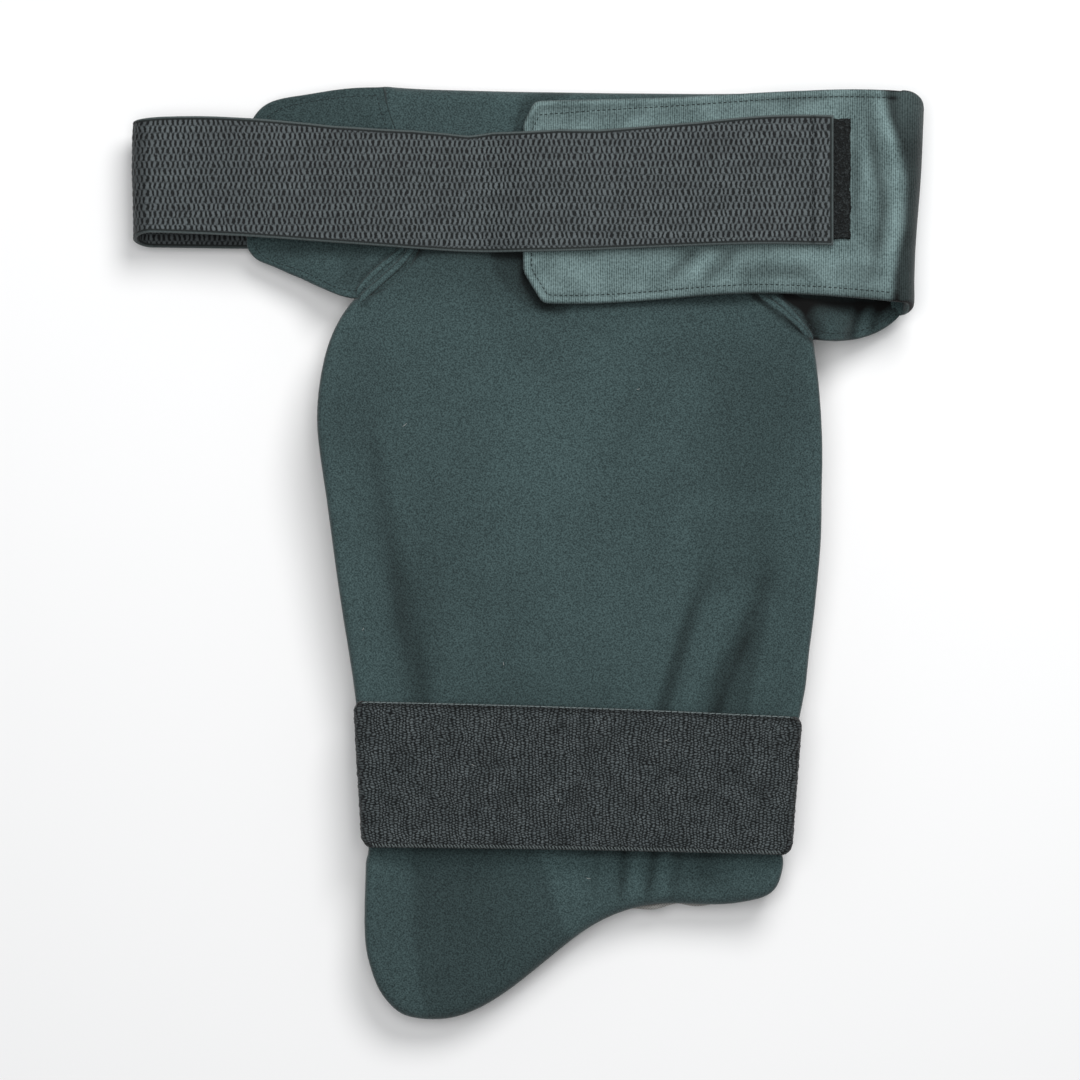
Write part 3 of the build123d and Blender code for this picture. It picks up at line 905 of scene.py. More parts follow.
# The welts where the wings are sewn on: points along each line, its depth, its width and how much painted
# shade darkens it
NECK_LINES = {
    "left_shadow": ([(-68.5, 104.5), (-65.8, 110.8), (-59.4, 116.8), (-54.2, 120.4), (-46, 126)],
                    0.9, 1.2, -0.45),
    "left_seam": ([(-70, 101), (-68.2, 103.2), (-59, 113.2), (-52.2, 120), (-46, 127)], 0.5, 0.6, -0.3),
    "left_groove": ([(-66, 99), (-64.2, 102), (-56.6, 108.4), (-49.4, 115.6), (-45.8, 118.8), (-42, 126)],
                    1.1, 1.1, -0.4),
    "right_groove": ([(86, 108), (94.6, 99.6), (108.6, 88.4), (115, 84)], 1.1, 1.1, -0.6),
    "right_shadow": ([(100, 106), (108, 100), (112, 91.6), (115, 85)], 1.0, 1.3, -0.62),
}


def neck_relief(plan):
    """The welts' grooves, in the pad and the wings alike."""
    return sum(groove(plan, line, depth, width) for line, depth, width, _ in NECK_LINES.values())


# Painted shade along the welts' grooves, in the pad and the wings alike.
def neck_painted_shade(plan):
    return sum(-groove(plan, line, painted_shading_and_tone, width * 1.2) for line, _, width, painted_shading_and_tone in NECK_LINES.values())


def leg_relief(plan):
    waves = 0.35 * ripple(plan, 75, 1) + 0.12 * ripple(plan, 26, 2)
    return waves + valleys(plan, LEG_CREASES) + neck_relief(plan)


# Painted shade and light on the leg fabric: along the welts, in the bands and in the patches.
def leg_painted_shading(plan):
    patches = sum(patch(plan, *facts) for facts in LEG_PAINTED_SHADE_PATCHES.values())
    return neck_painted_shade(plan) - valleys(plan, LEG_PAINTED_SHADE_AND_LIGHT) + patches


WING_RIMS = {side: Solid(f"{side}_wing_lining").rim(1.6) for side in ("left", "right")}
FREE_EDGES = np.concatenate([rim[reach(rim, PAD_RIM, closed=True) > 1.0] for rim in WING_RIMS.values()])
# Pad and wing are sewn flush this near to each other, which fades this near to the wing's free edges
WELD, CORNER_FADE = 5.0, 9.0
# Small moves of the outlines: where, which way and how far around
PAD_MOVES = [
    ((111, -54), (1.9, 0), 15),
    ((112, -30), (0.7, 0), 14),
    ((-66, 187), (0, 0.6), 22),
    ((115.5, 24), (-0.5, 0), 14),
    ((-81, 70), (0.6, 0), 16),
    ((97, -137), (0.6, -0.6), 7),
    ((8, -160), (0.3, -0.5), 24),
    ((-50, -184), (-0.7, -1.1), 8),
    ((-65, -169), (0.8, 0), 9),
    ((-10, -176), (-0.3, 0.5), 25),
]
WING_MOVES = [
    ((-105, 178.5), (-0.7, 1.3), 11),
    ((-66, 187), (0, 0.6), 22),
    ((-104, 113), (0.2, 1.2), 7),
    ((-80, 104.5), (0, 0.6), 6),
]


def nudged(plan, moves):
    """Plan points moved a little near some places."""
    for at, way, size in moves:
        plan = plan + bell(np.linalg.norm(plan - at, axis=1), size)[:, None] * way
    return plan


def sewn(plan, depth):
    """From 0 at a free edge to 1 where pad and wing are sewn flush."""
    to_wing = np.minimum(*(reach(plan, rim, closed=True) for rim in WING_RIMS.values()))
    to_free = in_parts(lambda part: np.linalg.norm(part[:, None] - FREE_EDGES, axis=2).min(1), plan)
    return smooth(1 - (to_wing - depth) / WELD) * smooth(to_free / CORNER_FADE)


def edge_roll(joined):
    """The radius of the pad's rolled edge, from free to sewn flush."""
    return EDGE_ROLL + (NECK_ROLL - EDGE_ROLL) * joined


def pinched(rim):
    """A rim drawn in a little where the thigh strap pulls round the pad's sides."""
    rim = nudged(rim, PAD_MOVES)
    x, y = rim.T
    hold = smooth((y + 124) / 5) * smooth((-66 - y) / 6) * (np.abs(x - 20) > 60)
    return rim + inward(rim) * (STRAP_PULL * hold)[:, None]


def leg_cover():
    """Leg fabric over the foam: the whole leg face, turned down round the sides to the outer seam."""

    def surfaces(plan, depth):
        high = under_face(plan[:, 0], 0.0) + leg_relief(plan) - rounded(depth, edge_roll(sewn(plan, depth)))
        low = under_face(plan[:, 0], SEAM_DEPTH) + rounded(depth, 1.0)
        return high, low

    piece = slab("leg_cover", pinched(PAD_RIM), (0.35, 0.9, 1.8, 3.1, 4.8), 1.9, surfaces, [LEG_FABRIC],
                 bulge=0.3, painted_shading_and_tone=leg_painted_shading)
    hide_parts("leg_lining", "edge_gusset", "cushion_foam", "impact_foam")
    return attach(piece, "pad")


RIBS = ("rib_left_side", "rib_centre_left", "rib_centre", "rib_centre_right", "rib_right_side")
# The outer face peeks out below the puckered edge in two places, by so much and so much higher
PEEK_TOP_Y, PEEK_OUT, PEEK_RISE = -125, 2.4, 7.5


def rib_lift(plan):
    """How far the outer face stands out over the foam ribs, each one a long rounded pod."""
    lift = np.zeros(len(plan))
    for node in RIBS:
        low, high = (np.array(corner)[:2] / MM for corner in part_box(node))
        half = (high - low) / 2 + 0.8
        out = np.abs(plan - (low + high) / 2) - (half - RIB_CORNER)
        gap = np.linalg.norm(np.maximum(out, 0), axis=1) + np.minimum(out.max(1), 0) - RIB_CORNER
        share = np.clip(1 + gap / RIB_SHOULDER, 0, 1)
        pod = np.where(gap < 0, RIB_HEIGHT * np.sqrt(np.maximum(1 - share**2.4, 0)), 0)
        lift = np.maximum(lift, pod)
    return lift


def outer_cover():
    """Pale outer face, moulded over the ribs; it shows a little past the puckered lower edge."""
    outward = -inward(PAD_RIM)
    x, y = PAD_RIM.T
    peek = smooth((PEEK_TOP_Y - y) / 8) * np.maximum(bell(x - 50, 8.0), 0.6 * bell(x - 67, 7.0))
    rim = pinched(PAD_RIM + outward * (PEEK_OUT * peek - 0.2)[:, None])

    def surfaces(plan, depth):
        share = nearest(plan, PAD_RIM, closed=True)[1]
        lip = np.interp(share, np.linspace(0, 1, len(peek)), peek) * smooth((2.2 - depth) / 0.4)
        high = under_face(plan[:, 0], SEAM_DEPTH) - rounded(depth, 0.8) + PEEK_RISE * lip
        low = under_face(plan[:, 0], PAD_THICK + rib_lift(plan)) + rounded(depth, 2.6)
        return high, low

    # Painted light on the strip of outer face that peeks out below the lower edge, which the pad shades
    def painted_shading_and_tone(plan):
        return 0.1 * smooth((PEEK_TOP_Y - plan[:, 1]) / 8) * (reach(plan, rim, closed=True) < 2.6)

    piece = slab("outer_face", rim, (0.3, 0.8, 1.5, 2.6), 2.2, surfaces, [OUTER_FABRIC], bulge=0.2,
                 painted_shading_and_tone=painted_shading_and_tone)
    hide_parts("outer_cover", *RIBS)
    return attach(piece, "pad")


# ---------------------------------------------------------------------------
# The wings

WEB_REACH = 22.0
# How wide the hems are, and how much thicker the flap's and the belt's hems are
HEM, HEM_RISE = 3.0, 0.45
RIM_SEWN = sewn(PAD_RIM, 0)


def pad_side(plan):
    """How far each plan point is outside the pad, and the pad's height where it is nearest."""
    away, share = nearest(plan, PAD_RIM, closed=True)
    loop = np.vstack([PAD_RIM, PAD_RIM[:1]])
    along = along_line(loop)
    joined = np.interp(share, along / along[-1], np.append(RIM_SEWN, RIM_SEWN[0]))
    x = np.interp(share, along / along[-1], loop[:, 0])
    return away, under_face(x, 0.0) - edge_roll(joined)


# The wings' creases, and their painted shade and light, in the same form as the leg fabric's
WING_CREASES = {
    "left": {"fold_by_seam": ([(-78, 124), (-74, 114), (-71, 106)], 0.9, 2.6)},
    "right": {
        "pucker_a": ([(133, 99), (130.5, 91), (128, 85)], 1.6, 2.0),
        "pucker_b": ([(143, 102), (140, 97), (137, 90)], 1.5, 1.8),
        "pucker_c": ([(121, 99), (119, 92), (117, 86)], 0.8, 2.2),
        "lip": ([(146, 102), (149, 99), (151, 96)], 0.8, 1.6),
    },
}
WING_PAINTED_SHADE_AND_LIGHT = {
    "left": {
        "by_seam": ([(-64, 122), (-70, 114), (-74, 104)], -0.25, 5.0),
        "under_belt": ([(-112, 122), (-80, 122), (-50, 122)], -0.25, 4.0),
        "top": ([(-130, 172), (-85, 182), (-40, 184)], -0.2, 12.0),
    },
    "right": {
        "under_flap": ([(84, 103), (126, 100.5), (168, 101.5)], -0.8, 3.4),
        "all_of_it": ([(90, 98), (128, 94), (166, 98)], -0.24, 14.0),
        "pucker_a": ([(134.5, 103), (130.5, 91), (127, 80)], -0.45, 1.9),
        "pucker_b": ([(144, 104), (140, 96), (136, 86)], -0.4, 1.8),
        "between": ([(137.5, 100), (135.5, 92), (133, 84)], 0.22, 1.8),
        "by_strip": ([(110, 102), (115, 92), (119, 84)], -0.4, 2.2),
    },
}


def wing(side, back, fold_x=None):
    """A padded fabric wing: its own level away from the pad, and a web up to the pad's edge at the seam."""
    over, under = Solid(f"{side}_wing_lining"), Solid(f"{side}_wing_backing")
    rim = WING_RIMS[side]

    def surfaces(plan, depth):
        away, edge_z = pad_side(plan)
        look = plan + (rim.mean(0) - plan) * 0.004  # a hair inside the CAD's own edge
        high, low = over.height(look), under.height(look, above=False)
        web = smooth(1 - away / WEB_REACH) * np.maximum(edge_z - high, 0)
        free = smooth(away / 3.0)
        if fold_x is not None:
            free = free * smooth((fold_x - plan[:, 0]) / 4.0)
        roll = 0.3 + 1.3 * free
        lift = 0.35 * ripple(plan, 40, 5) * smooth(depth / 8)
        lift -= 0.35 * free * bell(depth - HEM, 0.7)
        lift += valleys(plan, WING_CREASES[side]) + neck_relief(plan)
        return high + web + lift - rounded(depth, roll), low + 0.8 * web + rounded(depth, roll)

    # Painted shade and light on the wing: along the welts, under the belt and flap, and round the puckers.
    def painted_shading_and_tone(plan):
        return neck_painted_shade(plan) - valleys(plan, WING_PAINTED_SHADE_AND_LIGHT[side])

    piece = slab(f"{side}_wing", nudged(rim, WING_MOVES), (0.3, 0.8, 1.7, 2.9, 4.0), 1.6, surfaces,
                 [LEG_FABRIC, back], painted_shading_and_tone=painted_shading_and_tone)
    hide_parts(*(f"{side}_wing_{layer}" for layer in ("backing", "foam", "lining")))
    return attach(piece, "pad")


# ---------------------------------------------------------------------------
# The flap

FOLD_X = 149.0
FLAP_THICK = 3.6
FLAP_TAIL = 4.0
CORNER_CURL = 2.4
# The flap's lower edge at its fold's apex and under it, and how far its upper edge draws in there
APEX_LOW_Y, UNDER_LOW_Y, APEX_DROP, UNDER_DROP = 97.8, 95.6, 5.4, 2.0
# How much higher the flap's upper edge lies than the CAD's, along x
UPPER_EDGE_RISE = [(-8, 2.2), (10, 1.9), (30, 1.0), (60, 0.0), (110, -0.6), (149, -0.3)]
LOOP_FACE = Solid("flap_loop_face")
FLAP_LINING = Solid("flap_lining")
FLAP_RIM = LOOP_FACE.rim(1.5)
for _ in range(2):
    softer = np.roll(FLAP_RIM, 1, 0) / 4 + FLAP_RIM / 2 + np.roll(FLAP_RIM, -1, 0) / 4
    FLAP_RIM = np.where(FLAP_RIM[:, :1] < 60, softer, FLAP_RIM)
# The flap's creases, in the same form as the leg fabric's; its painted shade and light follow
FLAP_MARKS = {
    "fold_band": ([(151.0, 187), (150.5, 165), (152.5, 145), (151.0, 120), (150.5, 98)], 0.9, 3.0),
    "fold_crest": ([(139, 190), (141, 175), (144.5, 164), (147, 148), (146.6, 131), (143, 111), (142, 96)],
                   -0.7, 2.6),
    "inner_dip": ([(136.0, 170), (138.5, 150), (140.0, 136), (137.0, 118)], 0.6, 3.0),
    "wrinkle_a": ([(54.0, 109), (60.5, 115), (69.0, 123)], 1.1, 2.4),
    "wrinkle_b": ([(69.0, 107), (76.0, 115), (86.0, 123)], 1.0, 2.6),
    "wrinkle_crest": ([(62.0, 108), (69.0, 115), (77.0, 123)], -0.7, 2.6),
    "soft_wave": ([(88.0, 118), (98.0, 113), (112.0, 108)], 0.5, 4.0),
}
# Beyond this line the flap turns away, and painted shade darkens it: y and x of points along it
FLAP_CREST = [(98, 143), (111, 143.5), (131, 147.3), (148, 147.8), (164, 144.9), (175, 141), (187, 139)]
FLAP_PAINTED_SHADE_AND_LIGHT = {
    "fold_crest": ([(137, 200), (141, 175), (144.5, 164), (147, 148), (146.6, 131), (143, 111), (141, 88)],
                   0.34, 2.2),
    "inner_dip": ([(134, 184), (138.5, 156), (141, 142), (140, 128), (135, 104)], -0.42, 2.4),
    "inner_crest": ([(134.5, 182), (134, 158), (135, 130)], 0.16, 2.0),
    "by_hook": ([(130.0, 178), (130.5, 150), (130.0, 122)], -0.30, 2.0),
    "under_belt": ([(0, 119.0), (60, 121.0), (128, 122.5)], -0.34, 2.6),
    "over_belt": ([(6, 173.5), (60, 177.0), (124, 177.5)], -0.16, 2.0),
    "wrinkle_a": ([(54, 109), (60.5, 115), (68, 122)], -0.42, 2.2),
    "wrinkle_b": ([(69, 107), (76, 115), (85, 122)], -0.38, 2.5),
    "wrinkle_crest": ([(62, 108), (69, 115), (76, 122)], 0.20, 2.6),
    "low_blotch": ([(78, 112), (98, 112.5), (120, 112)], -0.36, 4.0),
    "low_light": ([(92, 119), (122, 118), (150, 116)], 0.18, 2.6),
    "top_blotch": ([(84, 183), (104, 181), (124, 182)], -0.22, 3.0),
    "top_left": ([(-6, 172), (14, 176), (46, 178)], -0.16, 5.0),
    "left_corner": ([(4, 121), (9, 112), (18, 106)], -0.14, 4.0),
    "low_right": ([(118, 116), (134, 112), (148, 114)], -0.14, 5.0),
}


def flap_line():
    """The middle of the flap in XZ, from its free end to the fold and round to the wing."""
    x = np.linspace(FLAP_RIM[:, 0].min(), FOLD_X, 120)
    low, high = span_at(FLAP_RIM, x)
    middle = np.stack([x, (low + high) / 2], 1)
    z = (LOOP_FACE.height(middle) + FLAP_LINING.height(middle, above=False)) / 2
    low_z, high_z = (corner[2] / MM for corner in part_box("flap_fold"))
    radius = (high_z - low_z - FLAP_THICK) / 2
    turn = arc((FOLD_X, (high_z + low_z) / 2), radius, 90, -90, 40)
    inward_x = FOLD_X - np.linspace(0.6, FLAP_TAIL, 7)
    in_wing = np.stack([inward_x, np.full(len(inward_x), 142.0)], 1)
    top = Solid("right_wing_lining").height(in_wing)
    bottom = Solid("right_wing_backing").height(in_wing, above=False)
    tail = np.stack([inward_x, (top + bottom) / 2], 1)
    return np.concatenate([np.stack([x, z], 1), turn[1:], tail])


def flap_spans(line, along):
    """The flap's own edges, which draw in round the fold and meet the wing's edges under it."""
    low, high = span_at(FLAP_RIM, line[:, 0])
    start, apex = np.argmax(line[:, 0] >= FOLD_X), np.argmax(line[:, 0])
    upper = np.clip((along - along[start]) / (along[apex] - along[start]), 0, 1)
    lower = np.clip((along[-1] - along) / (along[-1] - along[apex]), 0, 1)
    under = np.arange(len(line)) > apex
    past = np.arange(len(line)) >= start
    low = np.where(past, low[start] + (APEX_LOW_Y - low[start]) * upper**2, low)
    low = np.where(under, UNDER_LOW_Y + (APEX_LOW_Y - UNDER_LOW_Y) * lower**2, low)
    drop = np.where(under, UNDER_DROP + (APEX_DROP - UNDER_DROP) * lower**2, APEX_DROP * upper**2)
    drop -= np.interp(line[:, 0], *np.transpose(UPPER_EDGE_RISE)) * ~past
    return low, np.where(past, high[start], high) - drop


def flap_relief(place):
    """The flap's hem, wrinkles and soft waves, and its painted shade and light; its tail sinks into the
    wing.
    """
    s, x, y, depth, plan = place.s, place.x, place.y, place.depth, place.plan
    from_fold = s - s[np.argmax(x >= FOLD_X)]
    flat = smooth(-from_fold / 4)
    outer = 0.4 * ripple(plan, 45, 8) * smooth(depth / 10)
    outer += flat * HEM_RISE * (smooth((HEM - depth) / 1.2) - bell(depth - HEM - 0.4, 0.7))
    outer += flat * valleys(plan, FLAP_MARKS)
    inner = -outer * smooth((depth - 2) / 3)
    crest = np.interp(y, *np.transpose(FLAP_CREST))
    beyond = np.where(from_fold < 0, x, FOLD_X + from_fold) - crest
    # Painted shade beyond the fold's crest, towards the fold, along the hem and the edge, and painted shade
    # and light on the wrinkles
    painted_shading_and_tone = -np.interp(y, (160, 187), (0.82, 0.62)) * smooth((beyond - 0.3) / 4.2)
    painted_shading_and_tone *= 1 - smooth((from_fold - 13) / 6)
    hem = smooth((HEM - depth) / 0.6) * smooth((x - 56) / 16) * smooth((130 - y) / 8)
    painted_shading_and_tone -= flat * (0.13 * smooth((x - 122) / 12) + 0.26 * hem)
    painted_shading_and_tone -= flat * valleys(plan, FLAP_PAINTED_SHADE_AND_LIGHT)
    painted_shading_and_tone -= flat * 0.25 * bell(depth - HEM - 0.4, 0.6)
    sunk = 0.45 * smooth((s - s.max() + FLAP_TAIL + 1.5) / 2.0)
    return outer - sunk, inner - sunk, painted_shading_and_tone - 0.35 * smooth((0.9 - depth) / 0.9)


def flap_shift(place):
    """The fold lies flatter towards the flap's lower edge, and the free corners curl up."""
    x, y = place.x, place.y
    past = np.clip((x - FOLD_X + 4) / 12, 0, 1) ** 2
    lean = 4.2 * np.clip((182 - y) / 82, 0, 1) + 0.8 * np.clip((103 - y) / 7, 0, 1) ** 2
    loose = np.maximum(smooth((117 - y) / 16), smooth((y - 172) / 10) * 0.7)
    curl = CORNER_CURL * loose * smooth((40 - x) / 44)
    return np.stack([-past * lean, np.zeros(len(past)), curl], 1)


def flap():
    # The lining takes a small share of the flap's painted shade.
    piece = ribbon("flap", flap_line(), flap_spans, 0.6, across_strap(84, 0.9), FLAP_THICK, 1.7,
                   [LOOP_FABRIC, LEG_FABRIC], (True, False), flap_relief, flap_shift, inner_shading_share=0.15)
    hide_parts("flap_fold", "flap_lining", "flap_foam", "flap_loop_face")
    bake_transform(piece)
    return piece


# ---------------------------------------------------------------------------
# The waist elastic

ELASTIC_THICK = 1.5
STRAP_FOLD_X = -151.0
STRAP_END_X = 121.4
HEM_FOLD = 8.0
ELASTIC_STEP, ELASTIC_ACROSS = 0.52, across_strap(48, 0.58)
BELT_DIP_X = -24.0
BELT_FOLD_Y = (123.4, 172.0)
# Small moves of the belt's two edges along x: it dips at the kink and is a little wider over the flap
BELT_UPPER_EDGE = [(-150, 0), (-118, -0.7), (-79, -1.0), (-60, 0), (-46, 0.9), (-34, 0.9), (-24, 0.3),
                   (-14, 1.5), (12, 0.9), (28, -0.8), (67, -1.8), (94, -0.8), (122, 0)]
BELT_LOWER_EDGE = [(-60, 0), (-24, -0.3), (0, -0.4), (13, -0.7), (60, -1.2), (110, -1.7)]
FRONT_RUN = Solid("waist_elastic_front_run")
REAR_RUN = Solid("waist_elastic_rear_run")
FRONT_RIM = FRONT_RUN.rim(2.0)
REAR_RIM = REAR_RUN.rim(2.0)


def strap_middle(over, rim, x):
    """The height of a CAD strap's middle along x."""
    low, high = span_at(rim, x)
    middle = np.stack([np.clip(x, over.low[0] + 0.3, over.high[0] - 0.3), (low + high) / 2], 1)
    return (over.height(middle) + over.height(middle, above=False)) / 2


def waist_strap_line():
    """The belt's middle in XZ: round the fold at the left, then across to the free end."""
    low_z, high_z = (corner[2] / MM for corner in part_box("waist_elastic_fold"))
    radius = (high_z - low_z - ELASTIC_THICK) / 2
    turn = arc((STRAP_FOLD_X, (low_z + high_z) / 2), radius, 270, 90, 40)
    x = np.linspace(STRAP_FOLD_X, STRAP_END_X, 200)
    return np.concatenate([turn[:-1], np.stack([x, strap_middle(FRONT_RUN, FRONT_RIM, x)], 1)])


def waist_strap_spans(line, along):
    """The belt's two edges: the CAD's, with small moves on the front run, and their ends round the fold."""
    low, high = span_at(FRONT_RIM, line[:, 0])
    start = np.argmax((line[:, 0] >= STRAP_FOLD_X) & (along > 10))
    share = np.clip(np.arange(len(line)) / start, 0, 1)
    fold_low, fold_high = BELT_FOLD_Y
    low = np.where(share < 1, fold_low + (low[start] - fold_low) * smooth(share), low)
    high = np.where(share < 1, fold_high + (high[start] - fold_high) * share, high)
    on_top = smooth((along - 24) / 6)
    upper = np.interp(line[:, 0], *np.transpose(BELT_UPPER_EDGE)) * on_top
    lower = np.interp(line[:, 0], *np.transpose(BELT_LOWER_EDGE)) * on_top
    return low + lower, high + upper


def elastic_weave(place):
    """Staggered cells of the weave, flat along the selvedges."""
    s, y = place.s, place.y
    drift = 0.4 * ripple(np.stack([s, y], 1), 14, 12)
    cells = np.cos(2 * math.pi * (s + drift) / ELASTIC_COLUMN) * np.cos(math.pi * y / ELASTIC_ROW)
    inside_edge = smooth((place.depth - 1.3) / 0.6)
    edge_cord = 0.14 * smooth((1.4 - place.depth) / 0.6)
    return 0.16 * cells * inside_edge + edge_cord


def waist_strap_relief(place):
    """The weave, the folded hem at the free end, and a slight sag."""
    woven = elastic_weave(place)
    from_end = place.end - place.s
    hem = HEM_RISE * smooth((HEM_FOLD - from_end) / 0.6)
    hem_row = bell(from_end - HEM_FOLD - 0.3, 0.5)
    hem -= 0.55 * hem_row
    sag = 0.5 * ripple(place.plan, 60, 15) + 0.15 * ripple(place.plan, 18, 16)
    over_flap = smooth((place.x - BELT_DIP_X - 4) / 8)
    # Painted light in the dip and a touch over the flap, and painted shade round the fold and along the
    # hem's stitch row
    painted_shading_and_tone = 0.12 * bell(place.x - BELT_DIP_X - 5, 7) + 0.02 * over_flap
    painted_shading_and_tone -= 0.35 * smooth((STRAP_FOLD_X + 1 - place.x) / 6)
    painted_shading_and_tone -= 0.3 * hem_row
    return woven + hem + sag, 0.6 * woven - sag, painted_shading_and_tone


def waist_strap():
    piece = ribbon("waist_elastic", waist_strap_line(), waist_strap_spans, ELASTIC_STEP, ELASTIC_ACROSS,
                   ELASTIC_THICK, 0.6, [WOVEN_ELASTIC], (False, True), waist_strap_relief)
    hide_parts("waist_elastic_fold", "waist_elastic_front_run")
    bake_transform(piece)
    return piece


def rear_run():
    """The belt's rear run, sewn under the left wing."""

    def spans(line, along):
        return span_at(REAR_RIM, line[:, 0])

    def relief(place):
        woven = elastic_weave(place)
        # Painted shade over the whole rear run, which lies under the left wing
        return woven, 0.3 * woven, np.full(len(woven), -0.3)

    x = np.linspace(REAR_RUN.high[0] - 0.05, STRAP_FOLD_X, 60)
    line = np.stack([x, strap_middle(REAR_RUN, REAR_RIM, x)], 1)
    piece = ribbon("waist_elastic_rear", line, spans, ELASTIC_STEP, ELASTIC_ACROSS,
                   ELASTIC_THICK, 0.6, [WOVEN_ELASTIC], (True, False), relief)
    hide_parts("waist_elastic_rear_run")
    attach(piece, "pad")


def hook_patch():
    """Hook tape sewn under the belt's free end; its hooks face the flap."""
    tape = Solid("hook_patch")
    rim = tape.rim(1.0)
    centre = rim.mean(0)
    rim[:, 1] += np.where(rim[:, 1] > centre[1], 1.0, -1.5)

    def surfaces(plan, depth):
        look = centre + (plan - centre) * (0.99, 0.9)  # inside the CAD's tape, which is a little smaller
        fuzz = 0.22 * ripple(plan, 2.2, 31) + 0.12 * ripple(plan, 1.1, 32)
        past_end = smooth((plan[:, 0] - STRAP_END_X) / 1.0)
        high = tape.height(look) + past_end * (fuzz + 0.2) - rounded(depth, 0.4)
        return high, tape.height(look, above=False) + 0.15 * fuzz + rounded(depth, 0.4)

    ragged = rim + inward(rim) * (0.35 + 0.35 * ripple(rim, 2.4, 33))[:, None]
    piece = slab("hook_patch_face", ragged, (0.25, 0.6), 0.7, surfaces, [HOOK_TAPE], steps=2)
    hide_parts("hook_patch")
    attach(piece, "waist_strap")


# ---------------------------------------------------------------------------
# The thigh strap

TOWEL_THICK = 1.8
TOWEL_SPLIT_X, TOWEL_MIDDLE_Y = 20.0, -90
CORNER_RADIUS = 3.2
CORNER_TUCK = 2.4
TOWEL_SEWN_RUN = 26.0
# The strap bows this much towards the waist in its middle, and is this much narrower than the CAD's
TOWEL_BOW, TOWEL_NARROW = 0.8, 1.5
# Overlock along the upper and the lower edge: length, gap and width of a stitch, its thread and its slant
OVERLOCK = {1: (2.6, -0.15, 0.34, GREY_THREAD, 0.04), -1: (1.9, -0.6, 0.55, STRAP_THREAD, -0.95)}


def soften(line, radius):
    """A line with its corners rounded off; its two ends stay."""
    pitch = 0.5
    return evened(walk(line, pitch), int(2 * (radius / 2 / pitch) ** 2))


